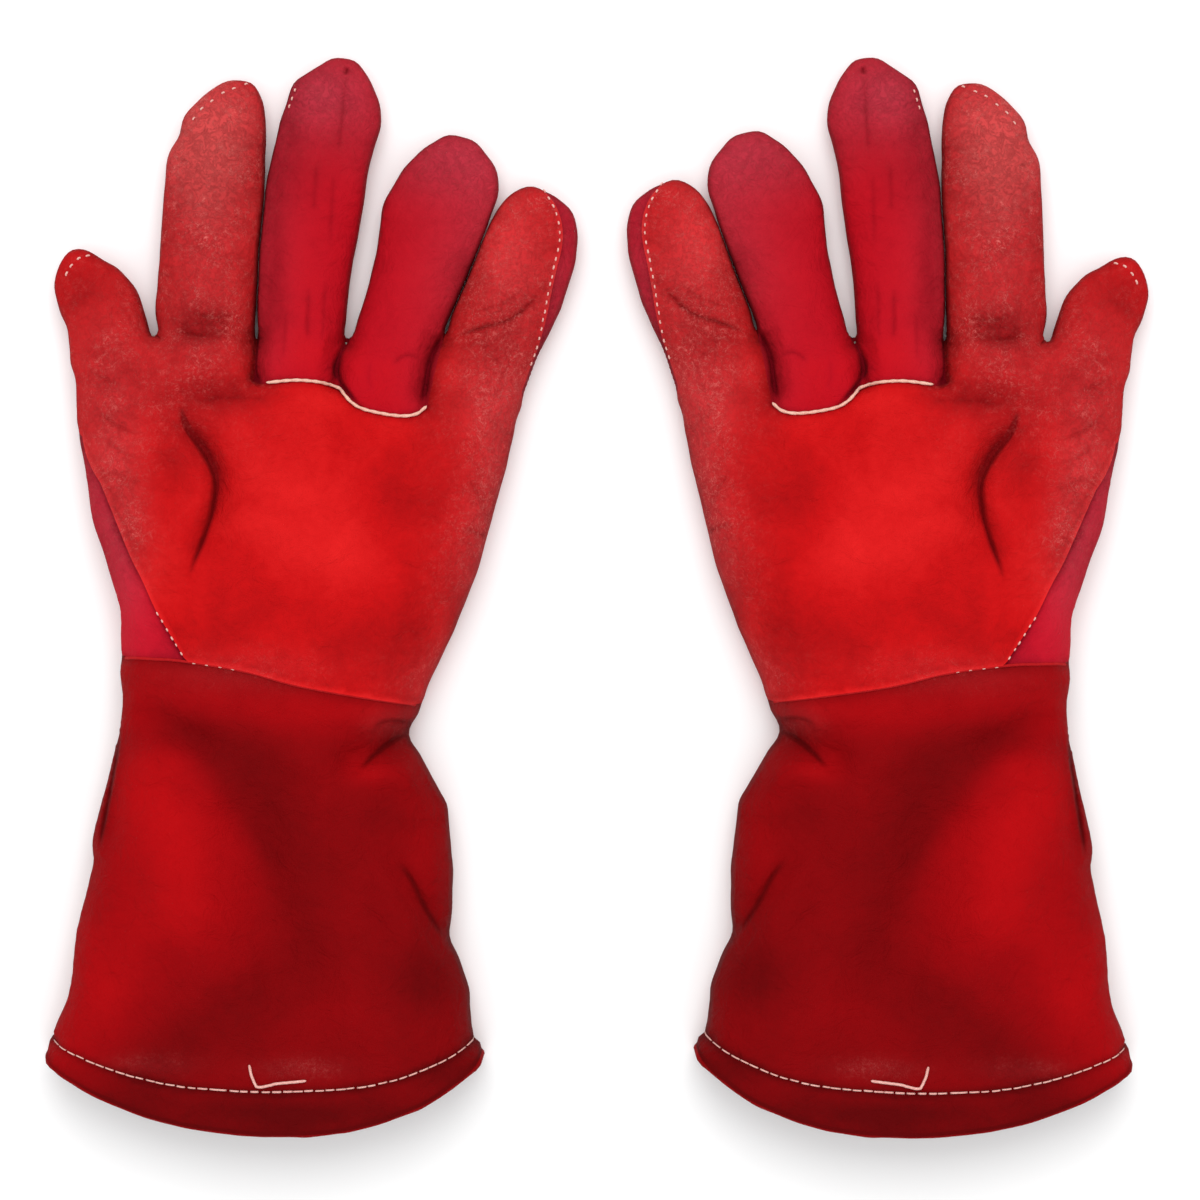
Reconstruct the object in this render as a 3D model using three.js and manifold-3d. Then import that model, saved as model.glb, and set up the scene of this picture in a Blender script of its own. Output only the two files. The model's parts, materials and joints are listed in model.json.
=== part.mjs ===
// A pair of leather welding gauntlets lying palm side up on a flat surface.
//
// Millimetres. +Z is up, +Y runs from the cuffs to the fingertips, and +X runs from the left-hand
// glove to the right-hand glove. The origin is on the surface, under the middle of the pair.
//
// Each glove is seven hollow bodies: the hand, four fingers, the thumb and the cuff. A body is a
// leather front and a leather back that meet at the seam height, over a tube of lining. The right
// glove is the left glove mirrored.
//
// A glove is drawn in its own frame first: origin at the middle of the wrist, +Y along the hand.

import * as THREE from 'three';
import { mergeVertices } from 'three/addons/utils/BufferGeometryUtils.js';
import Module from 'manifold-3d';

// ---------------------------------------------------------------- driving dimensions

const SEAM_Z = 9;          // height of the side seams above the surface
const SEAM_GAP = 0.3;      // between a leather front and its back
const LEATHER = 1.4;       // thickness of the hide
const LINING_GAP = 0.4;    // between hide and lining
const LINING = 1.1;        // thickness of the lining
const JOINT_GAP = 1;       // between two bodies that fold at a joint

const DIGIT_RISE = 10;     // crown of a finger above its seam
const ROOT_LENGTH = 12;    // how far a finger's root runs back into the palm
const ROOT_TAPER = 0.4;    // its width inside the palm, as a share of its width at the joint
const THUMB_ROOT_LENGTH = 46;
const THUMB_ROOT_RISE = 13;

const WRIST_RISE = 16;     // crown of the wrist above its seam
const WELT_WIDTH = 0.9;    // of the strip sewn into the wrist seam
const WELT_PROUD = 0.6;    // how far that strip stands out of the leather
const HEM_PROUD = 0.8;     // how far the turned hem stands out of the leather
const THREAD = 0.8;        // diameter of the hem's sewing thread
const PIPING_RADIUS = 0.8;

const ROUNDNESS = 2.4;     // exponent of the oval cross-sections: 2 is an ellipse
const BOW_FULLNESS = 2.8;  // exponent of the hem's arc: 2 is a parabola
const FLAT_SHARE = 1.25;   // over 1, the underside of a cross-section is flat where it rests
const SIDES = 12;          // corners of a digit's cross-section
const WIDE_SIDES = 12;     // corners of the hand's and the cuff's cross-sections
const OVERRUN = 3;         // how far a hollow runs out of the open end it leaves

const PAIR_SPACING = 197.2;          // from the left wrist to the right wrist
const RIGHT_SHIFT_Y = -0.3;
const RIGHT_TURN = THREE.MathUtils.degToRad(-1.85);
const PAIR_CENTRE = [99.4, 26.3];    // middle of the finished pair, from the left wrist

// A digit: where its base line's middle is, how far it leans towards +X in degrees, and its
// outline as [distance along, left edge, right edge], with the edges measured from its axis.
const DIGITS = {
  index: {
    base: [-27.5, 102.8],
    lean: 2.5,
    outline: [[0, -13.5, 15], [14, -16.5, 14.5], [34, -16.5, 14.5], [54, -16, 15.5], [68, -14, 15.5],
      [78, -10.5, 15.5], [86, -5, 14], [91.5, 3.5, 10.5]],
  },
  middle: {
    base: [2.9, 96],
    lean: 5,
    outline: [[0, -12.5, 12], [16, -15, 12.5], [42, -16.5, 13.5], [66, -16, 15.5], [85, -13.5, 18.3],
      [94, -11, 16.7], [101, -5.5, 13], [105.8, 1, 8.5]],
  },
  ring: {
    base: [30.4, 88.6],
    lean: 15,
    outline: [[0, -13, 12], [12, -16, 11.6], [34, -15.5, 12], [48, -15.5, 14.2], [62, -17, 16],
      [75, -14.5, 17], [84, -9.5, 13.5], [89.8, -3, 6]],
  },
  little: {
    base: [58.8, 83.7],
    lean: 18.5,
    outline: [[0, -14, 13.5], [12, -16.3, 13.3], [28, -16.8, 13.6], [44, -15.7, 15.2],
      [58, -15, 14.5], [67, -14, 12], [73.5, -11, 8], [77.5, -6.5, 0]],
  },
  thumb: {
    base: [-44.1, 57.2],
    lean: -15.6,
    outline: [[0, -20, 19], [12, -19.2, 19.5], [26, -18, 17.8], [42, -14.4, 13.6], [56, -13, 12.6],
      [69, -13, 12.2], [77, -12, 8.2], [82.5, -9.5, 3.4], [86, -7, -1]],
  },
};

// Cross-sections of the palm from the wrist to the finger roots: left end, right end, and crown.
const WRIST_LINE = { left: [-54.9, 6], right: [41.7, -8.5] };
const PALM = [
  { left: [-54.6, 20], right: [52.5, 15], rise: 18 },
  { left: [-56.5, 36], right: [60.5, 35], rise: 19.5 },
  { left: [-23.5, 61], right: [67.3, 60], rise: 19.5 },
  { left: [-26, 73], right: [69.8, 68.5], rise: 17 },
  { left: [-31, 85], right: [71, 74], rise: 14 },
  { left: [-37.5, 97], right: [71.6, 78], rise: 11 },
];

// Cross-sections of the cuff from the wrist to the hem's stitch line. Bow is how far the middle
// of a section hangs below the line between its ends, as the cuff is cut to an arc.
const CUFF = [
  { left: [-55.8, -17], right: [39.3, -19.5], rise: 15.5, bow: 0 },
  { left: [-60.6, -40], right: [50.8, -41], rise: 19, bow: 2 },
  { left: [-64.5, -60], right: [52, -60], rise: 22, bow: 5 },
  { left: [-69.5, -84], right: [51.5, -82], rise: 24, bow: 9 },
  { left: [-72, -101], right: [58.3, -101], rise: 24.5, bow: 13 },
  { left: [-76.9, -116], right: [59.1, -116], rise: 24.5, bow: 17 },
];
const HEM_END = { left: [-78, -122], right: [61.3, -122.5], rise: 24, bow: 26 };

// ---------------------------------------------------------------- materials

const hide = (colour) => new THREE.MeshStandardMaterial({ color: colour, roughness: 0.9 });
const NAPPED_HIDE = hide(0xb81f26);
const PALM_HIDE = hide(0xc8141a);
const SMOOTH_HIDE = hide(0xb0121c);
const BACK_HIDE = hide(0xa81633);
const CUFF_HIDE = hide(0x960812);
const WELT_HIDE = hide(0x8c0a14);
const PALE_PIPING = hide(0xe8ccb4);
const PALE_THREAD = hide(0xe6c8b8);
const COTTON = hide(0xe9e4d8);
const CANVAS = hide(0x5c6f8f);

// ---------------------------------------------------------------- solids

const wasm = await Module();
wasm.setup();

function toSolid(geometry) {
  const bare = geometry.clone();
  bare.deleteAttribute('normal');
  bare.deleteAttribute('uv');
  const merged = mergeVertices(bare);
  return new wasm.Manifold(new wasm.Mesh({
    numProp: 3,
    vertProperties: merged.attributes.position.array,
    triVerts: new Uint32Array(merged.index.array),
  }));
}

function toGeometry(solid) {
  const mesh = solid.getMesh();
  const geometry = new THREE.BufferGeometry();
  geometry.setAttribute('position', new THREE.BufferAttribute(mesh.vertProperties, 3));
  geometry.setIndex(new THREE.BufferAttribute(mesh.triVerts, 1));
  geometry.computeVertexNormals();
  return geometry;
}

const joined = (solids) => solids.reduce((all, solid) => all.add(solid));

// Half of space above or below a height, as a slab larger than a glove.
function slab(fromZ, toZ) {
  const box = new THREE.BoxGeometry(600, 600, toZ - fromZ);
  box.translate(0, 0, (fromZ + toZ) / 2);
  return toSolid(box);
}

const ABOVE_SEAM = slab(SEAM_Z + SEAM_GAP / 2, 100);
const BELOW_SEAM = slab(-100, SEAM_Z - SEAM_GAP / 2);

const power = (value, exponent) => Math.sign(value) * Math.abs(value) ** exponent;

// The corners of one cross-section. An inset section is smaller all round; a negative inset
// stands out.
function sectionCorners(section, sides, inset) {
  const { left, right, rise, depth = SEAM_Z, bow = 0, forward = 0 } = section;
  const left2 = new THREE.Vector2(...left);
  const right2 = new THREE.Vector2(...right);
  const half = left2.distanceTo(right2) / 2;
  const across = right2.clone().sub(left2).normalize();
  const ahead = new THREE.Vector2(-across.y, across.x);
  const middle = left2.add(right2).multiplyScalar(0.5).addScaledVector(ahead, forward);
  const corners = [];
  for (let i = 0; i < sides; i += 1) {
    const angle = (2 * Math.PI * i) / sides;
    const side = power(Math.cos(angle), 2 / ROUNDNESS);
    const height = power(Math.sin(angle), 2 / ROUNDNESS);
    const place = middle.clone().addScaledVector(across, side * (half - inset));
    const lift = height > 0
      ? height * (rise - inset)
      : Math.max(-1, FLAT_SHARE * height) * (depth - inset);
    const drop = bow * (1 - Math.abs(side) ** BOW_FULLNESS);
    corners.push([place.x, place.y - drop, Math.max(0, SEAM_Z + lift)]);
  }
  return corners;
}

// A closed solid through a row of cross-sections.
function loft(sections, sides, inset) {
  const last = sections.length - 1;
  const rings = sections.map((section) => sectionCorners(section, sides, inset));
  const middleOf = (ring) => [0, 1, 2].map((k) => ring.reduce((sum, p) => sum + p[k], 0) / sides);
  const points = [...rings.flat(), middleOf(rings[0]), middleOf(rings[last])];
  const startMiddle = points.length - 2;
  const endMiddle = points.length - 1;
  const index = [];
  for (let j = 0; j < sides; j += 1) {
    const next = (j + 1) % sides;
    for (let i = 0; i < last; i += 1) {
      const [a, b] = [i * sides + j, i * sides + next];
      const [c, d] = [a + sides, b + sides];
      index.push(a, d, b, a, c, d);
    }
    index.push(startMiddle, j, next);
    index.push(endMiddle, last * sides + next, last * sides + j);
  }
  const geometry = new THREE.BufferGeometry();
  geometry.setAttribute('position', new THREE.Float32BufferAttribute(points.flat(), 3));
  geometry.setIndex(index);
  return toSolid(geometry);
}

// A body's cross-sections with its closed ends pulled in by the inset, and its open ends run on.
function fitEnds({ sections, openStart, openEnd }, inset, overrun) {
  const first = { ...sections[0], forward: openStart ? 0 : inset };
  const last = { ...sections[sections.length - 1], forward: openEnd ? 0 : -inset };
  const fitted = [first, ...sections.slice(1, -1), last];
  if (openStart && overrun) fitted.unshift({ ...first, forward: -overrun });
  if (openEnd && overrun) fitted.push({ ...last, forward: overrun });
  return fitted;
}

// A skin between two insets over one or more lofted bodies.
function skin(bodies, outerInset, innerInset) {
  const lofts = (inset, overrun) => bodies.map(
    (body) => loft(fitEnds(body, inset, overrun), body.sides, inset),
  );
  return joined(lofts(outerInset, 0)).subtract(joined(lofts(innerInset, OVERRUN)));
}

function leatherAndLining(bodies) {
  const leather = skin(bodies, 0, LEATHER);
  const liningBodies = bodies.map((body) => ({ ...body, sides: body.liningSides }));
  const liningInset = LEATHER + LINING_GAP;
  return {
    front: leather.intersect(ABOVE_SEAM),
    back: leather.intersect(BELOW_SEAM),
    lining: skin(liningBodies, liningInset, liningInset + LINING),
  };
}

// A thin band that goes all round a body: two cross-sections, open at both ends.
function band(start, end, proud, thickness) {
  const body = { sections: [start, end], sides: WIDE_SIDES, openStart: true, openEnd: true };
  return skin([body], -proud, thickness);
}

// ---------------------------------------------------------------- digits

// The point at a distance along a digit's axis and a distance to the right of it.
function inDigit({ base, lean }, along, across) {
  const angle = THREE.MathUtils.degToRad(lean);
  return [
    base[0] + along * Math.sin(angle) + across * Math.cos(angle),
    base[1] + along * Math.cos(angle) - across * Math.sin(angle),
  ];
}

function digitSection(digit, along, left, right, rise = DIGIT_RISE, depth = SEAM_Z) {
  return { left: inDigit(digit, along, left), right: inDigit(digit, along, right), rise, depth };
}

// A digit's own body: narrower sections are flatter too, so the tip closes in a dome.
function digitBody(digit) {
  const widest = Math.max(...digit.outline.map(([, left, right]) => right - left));
  const sections = digit.outline.map(([along, left, right], i) => {
    const share = i < 3 ? 1 : Math.min(1, Math.sqrt((1.25 * (right - left)) / widest));
    const start = i === 0 ? JOINT_GAP / 2 : along;
    return digitSection(digit, start, left, right, share * DIGIT_RISE, share * SEAM_Z);
  });
  return { sections, sides: SIDES, liningSides: SIDES / 2, openStart: true, openEnd: false };
}

// The part of a digit's tube that belongs to the hand, from inside the palm to the joint.
function digitRoot(digit, length, rise, taper) {
  const [, left, right] = digit.outline[0];
  const sections = [
    digitSection(digit, -length, taper * left, taper * right, rise),
    digitSection(digit, -JOINT_GAP / 2, left, right),
  ];
  return { sections, sides: SIDES, liningSides: SIDES / 2, openStart: false, openEnd: true };
}

// ---------------------------------------------------------------- hand and cuff

// The wrist line moved along the glove, as a cross-section.
function wristSection(forward) {
  const left = new THREE.Vector2(...WRIST_LINE.left);
  const right = new THREE.Vector2(...WRIST_LINE.right);
  const across = right.clone().sub(left).normalize();
  const ahead = new THREE.Vector2(-across.y, across.x).multiplyScalar(forward);
  return { left: left.add(ahead).toArray(), right: right.add(ahead).toArray(), rise: WRIST_RISE };
}

const WELT_START = 0.4;
const HAND_START = WELT_START + WELT_WIDTH + SEAM_GAP;

function handBodies() {
  const palm = {
    sections: [wristSection(HAND_START), ...PALM],
    sides: WIDE_SIDES,
    liningSides: WIDE_SIDES,
    openStart: true,
    openEnd: false,
  };
  const fingers = ['index', 'middle', 'ring', 'little'];
  const roots = fingers.map((name) => digitRoot(DIGITS[name], ROOT_LENGTH, DIGIT_RISE, ROOT_TAPER));
  return [palm, ...roots, digitRoot(DIGITS.thumb, THUMB_ROOT_LENGTH, THUMB_ROOT_RISE, 1)];
}

const moved = (section, forward) => ({
  ...section,
  left: [section.left[0], section.left[1] + forward],
  right: [section.right[0], section.right[1] + forward],
});

const HEM_LINE = CUFF[CUFF.length - 1];

function cuffBody() {
  const end = moved(HEM_LINE, THREAD / 2 + SEAM_GAP);
  const sections = [end, ...CUFF.slice(0, -1).reverse(), wristSection(-JOINT_GAP / 2)];
  return { sections, sides: WIDE_SIDES, liningSides: WIDE_SIDES, openStart: true, openEnd: true };
}

function hemBand() {
  return band(HEM_END, moved(HEM_LINE, -THREAD / 2 - SEAM_GAP), HEM_PROUD, LEATHER);
}

// The hem's thread, drawn as one cord all round the hem's stitch line.
function hemThread() {
  return band(moved(HEM_LINE, -THREAD / 2), moved(HEM_LINE, THREAD / 2), THREAD / 2, THREAD / 2);
}

// The piping follows the root of the middle finger, dips, and follows the root of the ring finger.
function fingerBasePiping() {
  const across = (digit, fromSide, toSide, steps) => {
    const [, left, right] = digit.outline[0];
    const section = digitSection(digit, -JOINT_GAP, left, right);
    const proud = PIPING_RADIUS + SEAM_GAP;
    const corners = sectionCorners(section, 4 * SIDES, -proud);
    const at = (side) => corners[Math.round((side / 360) * 4 * SIDES)];
    return Array.from({ length: steps + 1 }, (_, i) => at(fromSide + ((toSide - fromSide) * i) / steps));
  };
  const points = [...across(DIGITS.middle, 150, 37.5, 5), ...across(DIGITS.ring, 142.5, 30, 5)];
  const route = new THREE.CatmullRomCurve3(points.map((p) => new THREE.Vector3(...p)));
  const circle = new THREE.Shape().absarc(0, 0, PIPING_RADIUS, 0, 2 * Math.PI);
  return new THREE.ExtrudeGeometry(circle, { steps: 16, curveSegments: 3, extrudePath: route });
}

// ---------------------------------------------------------------- one glove, then the pair

function glove(hand) {
  const group = new THREE.Group();
  const add = (piece, shape, material) => {
    const geometry = shape.isBufferGeometry ? shape : toGeometry(shape);
    const mesh = new THREE.Mesh(geometry, material);
    mesh.name = `${hand}_${piece}`;
    group.add(mesh);
  };

  const handParts = leatherAndLining(handBodies());
  add('palm_panel', handParts.front, PALM_HIDE);
  add('back_panel', handParts.back, BACK_HIDE);
  add('hand_lining', handParts.lining, COTTON);
  add('finger_base_piping', fingerBasePiping(), PALE_PIPING);
  const welt = band(
    wristSection(WELT_START), wristSection(WELT_START + WELT_WIDTH), WELT_PROUD, LEATHER,
  );
  add('wrist_welt', welt, WELT_HIDE);

  const setIn = ['middle', 'ring'];
  for (const [name, digit] of Object.entries(DIGITS)) {
    const parts = leatherAndLining([digitBody(digit)]);
    add(`${name}_front`, parts.front, setIn.includes(name) ? SMOOTH_HIDE : NAPPED_HIDE);
    add(`${name}_back`, parts.back, BACK_HIDE);
    add(`${name}_lining`, parts.lining, COTTON);
  }

  const cuffParts = leatherAndLining([cuffBody()]);
  add('cuff_front', cuffParts.front, CUFF_HIDE);
  add('cuff_back', cuffParts.back, CUFF_HIDE);
  add('cuff_lining', cuffParts.lining, CANVAS);
  add('hem', hemBand(), CUFF_HIDE);
  add('hem_thread', hemThread(), PALE_THREAD);
  return group;
}

const pair = new THREE.Group();
const leftGlove = glove('left');
const rightGlove = glove('right');
rightGlove.scale.x = -1;
rightGlove.rotation.z = RIGHT_TURN;
rightGlove.position.set(PAIR_SPACING, RIGHT_SHIFT_Y, 0);
pair.add(leftGlove, rightGlove);
pair.position.set(-PAIR_CENTRE[0], -PAIR_CENTRE[1], 0);

export default pair;
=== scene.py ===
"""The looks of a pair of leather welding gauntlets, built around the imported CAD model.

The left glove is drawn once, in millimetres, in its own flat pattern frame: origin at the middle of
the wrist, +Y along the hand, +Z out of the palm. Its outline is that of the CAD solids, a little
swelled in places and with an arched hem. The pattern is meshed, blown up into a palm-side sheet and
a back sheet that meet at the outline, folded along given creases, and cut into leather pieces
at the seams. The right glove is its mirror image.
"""

import json
import math

import bpy
import numpy as np
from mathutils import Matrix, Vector, geometry, noise
from mathutils.bvhtree import BVHTree


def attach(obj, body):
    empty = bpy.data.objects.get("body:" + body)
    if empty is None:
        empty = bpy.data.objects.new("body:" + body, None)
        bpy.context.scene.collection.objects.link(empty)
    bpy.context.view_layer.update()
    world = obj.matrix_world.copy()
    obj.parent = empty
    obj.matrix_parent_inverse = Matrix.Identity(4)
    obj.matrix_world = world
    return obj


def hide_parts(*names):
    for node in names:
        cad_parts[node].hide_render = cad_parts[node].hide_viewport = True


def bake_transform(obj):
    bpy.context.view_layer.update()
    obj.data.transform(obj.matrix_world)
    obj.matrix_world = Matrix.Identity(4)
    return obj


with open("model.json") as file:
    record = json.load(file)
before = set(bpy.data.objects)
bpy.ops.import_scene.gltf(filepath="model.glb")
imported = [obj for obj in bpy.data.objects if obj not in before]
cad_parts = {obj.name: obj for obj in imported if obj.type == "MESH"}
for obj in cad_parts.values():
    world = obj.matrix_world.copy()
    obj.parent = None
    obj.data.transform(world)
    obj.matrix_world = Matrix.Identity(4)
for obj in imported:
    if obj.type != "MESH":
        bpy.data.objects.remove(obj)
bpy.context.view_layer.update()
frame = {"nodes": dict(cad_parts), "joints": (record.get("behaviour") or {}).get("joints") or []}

# ------------------------------------------------------------------ sizes, in millimetres

MM = 0.001
DIGITS = ("index", "middle", "ring", "little", "thumb")
WRIST_IN_PATTERN = np.array([-6.6, -1.25])   # where the wrist joint is in the pattern frame

CELL = 0.4            # of the raster that the outline is traced on
SPACING = 1.8         # between neighbouring points of the leather's mesh, away from its lines
SEAM_Z = 9.0          # height of the outline seams above the floor
FULLNESS = 0.72       # how round the glove is: 1 would make its fingers full tubes
DEEPEST = 23.0        # no part of the palm side rises further than this above the seams
BACK_FULLNESS = 1.3   # how much faster the back falls away from the seams than the palm side rises
FLOOR_GAP = 0.15      # the back stays this far above the floor
MOUTH_Y = -119.5      # the outline is open below this, where the arm goes in
COARSE = 4.0          # spacing of the linings' mesh
WIDEST = 75           # a glove reaches less than this to each side of a joint
LEATHER = 1.4         # thickness
SEAM_SINK = 0.75      # how far a plain seam pulls the leather in
LAP_SINK = 0.55       # the same for a lapped seam
BACK_SINK = 0.6       # the same for the back's seams
LIP = 0.95            # how far the edge of a lapped panel stands up
HEM_PROUD = 0.8       # how far the turned hem stands out of the leather
HEM_INSIDE = -2.3     # where its inner face is, from the leather's surface
HEM_ROUND = 1.0       # how far its rounded edge stands out
CREASE_WIDTH = 0.75   # half-width of a narrow crease
LINING_GAP = 0.35     # between leather and lining
LINING = 1.0          # thickness
FINGER_BEND = 26      # length of a line laid along a finger from its root; nothing here bends the leather along it
THUMB_BEND = 34       # the same for the thumb
WRIST_BEND = 34       # the same for the cuff


def joint(name):
    """A hinge's place and its direction across the glove, and the direction along it, in 2D."""
    found = next(j for j in frame["joints"] if j["name"] == name)
    across = np.array(found["axis"][:2], float)
    if across[0] < 0:
        across = -across
    return np.array(found["pos_m"][:2], float) / MM, across, np.array([-across[1], across[0]])


LEFT_WRIST, WRIST_ACROSS, WRIST_AHEAD = joint("left_wrist_fold")
PATTERN_ORIGIN = LEFT_WRIST - WRIST_IN_PATTERN
BASE = {d: joint(f"left_{d}_fold")[0] - PATTERN_ORIGIN for d in DIGITS}
ACROSS = {d: joint(f"left_{d}_fold")[1] for d in DIGITS}
AHEAD = {d: joint(f"left_{d}_fold")[2] for d in DIGITS}


def smooth(low, high, value):
    """0 below low, 1 above high, and a smooth step between."""
    t = np.clip((np.asarray(value, float) - low) / (high - low), 0, 1)
    return t * t * (3 - 2 * t)


# ------------------------------------------------------------------ outline of the glove

def triangles_of(node):
    mesh = frame["nodes"][node].data
    mesh.calc_loop_triangles()
    points = np.array([v.co[:2] for v in mesh.vertices]) / MM - PATTERN_ORIGIN
    return points[np.array([t.vertices[:] for t in mesh.loop_triangles])]


class Raster:
    """A grid of cells over the left glove, in the pattern frame."""

    def __init__(self, nodes, margin=4.0):
        self.corners = np.concatenate([triangles_of(n) for n in nodes])
        self.low = self.corners.min((0, 1)) - margin
        high = self.corners.max((0, 1)) + margin
        self.shape = tuple(np.ceil((high - self.low) / CELL).astype(int))
        grid = np.indices(self.shape).transpose(1, 2, 0)
        self.centres = self.low + (grid + 0.5) * CELL

    def fill(self, corners):
        mask = np.zeros(self.shape, bool)
        for tri in corners:
            first = np.floor((tri.min(0) - self.low) / CELL - 0.5).astype(int).clip(0)
            last = np.ceil((tri.max(0) - self.low) / CELL + 0.5).astype(int)
            block = self.centres[first[0]:last[0], first[1]:last[1]]
            inside = np.ones(block.shape[:2], bool)
            turn = np.sign(np.cross(tri[1] - tri[0], tri[2] - tri[0]))
            for i in range(3):
                side = tri[(i + 1) % 3] - tri[i]
                inside &= turn * np.cross(side, block - tri[i]) >= 0
            mask[first[0]:last[0], first[1]:last[1]] |= inside
        return mask


def bridge(raster, mask, base, across, ahead, reach):
    """Fills the gap that the CAD leaves at a joint, over the width of the body ahead of it."""
    along = (raster.centres - base) @ ahead
    side = (raster.centres - base) @ across
    near = mask & (np.abs(along) > reach - 1) & (np.abs(along) < reach + 1) & (np.abs(side) < WIDEST)
    left, right = side[near].min(), side[near].max()
    return (np.abs(along) < reach) & (side > left) & (side < right)


def inside(points, corners):
    """Which points are inside a polygon."""
    result = np.zeros(points.shape[:-1], bool)
    for (x0, y0), (x1, y1) in zip(corners, np.roll(corners, -1, 0)):
        if y0 == y1:
            continue
        level = (points[..., 1] > y0) != (points[..., 1] > y1)
        result ^= level & (points[..., 0] < x0 + (points[..., 1] - y0) * (x1 - x0) / (y1 - y0))
    return result


def trace(raster, mask):
    """The boundary of a mask as one closed loop of points, by walking the edges of its cells."""
    padded = np.pad(mask, 1)
    steps = {}
    for (dx, dy), (start, end) in {
        (1, 0): ((1, 0), (1, 1)),
        (0, 1): ((1, 1), (0, 1)),
        (-1, 0): ((0, 1), (0, 0)),
        (0, -1): ((0, 0), (1, 0)),
    }.items():
        edge = padded & ~np.roll(padded, (-dx, -dy), (0, 1))
        for i, j in np.argwhere(edge):
            steps.setdefault((i + start[0], j + start[1]), []).append((i + end[0], j + end[1]))
    loops = []
    while steps:
        loop = [next(iter(steps))]
        while loop[-1] in steps:
            following = steps[loop[-1]].pop()
            if not steps[loop[-1]]:
                del steps[loop[-1]]
            loop.append(following)
        loops.append(loop[:-1])
    longest = max(loops, key=len)
    return raster.low + (np.array(longest, float) - 1) * CELL


def resample(points, spacing, closed=False):
    """The same line with evenly spaced points."""
    points = np.asarray(points, float)
    if closed:
        points = np.vstack([points, points[:1]])
    lengths = np.concatenate([[0], np.cumsum(np.linalg.norm(np.diff(points, axis=0), axis=1))])
    count = max(2, int(round(lengths[-1] / spacing)) + 1)
    at = np.linspace(0, lengths[-1], count)
    even = np.stack([np.interp(at, lengths, points[:, k]) for k in range(points.shape[1])], 1)
    return even[:-1] if closed else even


def relax(points, times, closed=True):
    """Rounds the corners of a line without shrinking it."""
    for _ in range(times):
        for share in (0.5, -0.53):
            middle = (np.roll(points, 1, 0) + np.roll(points, -1, 0)) / 2
            moved = points + share * (middle - points)
            if not closed:
                moved[0], moved[-1] = points[0], points[-1]
            points = moved
    return points


def curve_through(points, spacing=SPACING):
    """A smooth open line through a few given points (Catmull-Rom)."""
    p = np.asarray(points, float)
    p = np.vstack([2 * p[0] - p[1], p, 2 * p[-1] - p[-2]])
    line = []
    for i in range(1, len(p) - 2):
        for t in np.linspace(0, 1, 12, endpoint=False):
            a = 2 * p[i]
            b = p[i + 1] - p[i - 1]
            c = 2 * p[i - 1] - 5 * p[i] + 4 * p[i + 1] - p[i + 2]
            d = -p[i - 1] + 3 * p[i] - 3 * p[i + 1] + p[i + 2]
            line.append((a + b * t + c * t * t + d * t ** 3) / 2)
    return resample(np.array(line + [p[-2]]), spacing)


# The hem's lower edge, and its stitch line, as the turned hem hangs in an arc.
HEM_EDGE = [(-77.6, -116.8), (-78.7, -118.8), (-78, -121.4), (-74.5, -124.6), (-69, -128.2), (-58, -134),
            (-41, -140.4), (-21, -144), (1.3, -145.2), (22, -143.2), (42, -136.4), (54, -129),
            (60.2, -123.6), (61.7, -120.8), (61.4, -118.4), (60.2, -116.9)]
HEM_LINE = [(-77.4, -115.9), (-68.8, -119.9), (-54.9, -125.2), (-38, -129.3), (-18, -131.3), (1.3, -131.6),
            (20, -130.6), (34, -128.1), (46, -123.8), (53, -120.5), (59.9, -116)]
HEM_CORNERS = [(-77.5, -121.5), (61, -121)]

# Where the leather's outline swells or shrinks from the CAD's: x, y, radius, and outward distance.
SWELLS = [
    (-9, 150, 18, 0.5), (-10.5, 125, 10, 0.4), (78, 158, 8, 0.7), (92, 145, 14, 1.1), (90, 152, 8, 0.6),
    (58, 140, 10, 0.5), (54, 122, 6, 0.6), (58, 172, 8, 0.6), (66, 162, 6, 1), (53, 176, 6, 0.4),
    (32, 156, 5, 0.5), (-39, 168, 6, 1), (-34, 183, 5, 1), (-36.5, 177, 4, -0.5), (-24, 191, 5, 0.6),
    (-42.6, 122, 8, 0.6), (2, 193.5, 4, 1.3), (24, 168, 8, -0.8), (29, 184, 5, 0.5),
    (20, 128, 12, -0.5), (15, 200.5, 4, 0.3), (-73, 138, 4, -0.8), (-61, 137.5, 4, -0.6),
    (-76, 127, 5, 0.5), (-72.5, 114.5, 4, -1), (-68.5, 85, 14, 1), (-63, 52, 12, 1.3),
    (-54.5, 15, 8, 1.1), (-54, -8, 6, -0.6), (43, -6, 4, 0.6), (38.5, -16.5, 4, -1.7),
    (-61, -46, 11, 1.5), (-64, -59, 2.5, -0.6), (-68, -80, 10, 0.8), (52, -62, 12, 0.4),
    (53, -84, 4, -0.7), (-57, -28, 10, 0.5), (-63, -53, 5, 0.7), (-54.5, 4, 6, 0.6), (-57, 33, 7, 0.5),
    (58, -106, 7, -0.5), (-75, -112, 5, 0.7), (51, -72, 8, 0.5),
]


# The webs between the digits reach further up than the CAD's: from, to and half-width.
WEB_FILLS = [((-42.3, 103), (-43.4, 110), 1.9), ((-11.4, 106), (-11.2, 109), 1.2),
             ((17, 101), (18.4, 109), 1.8), ((47, 100), (49.6, 110), 1.5)]


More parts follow.
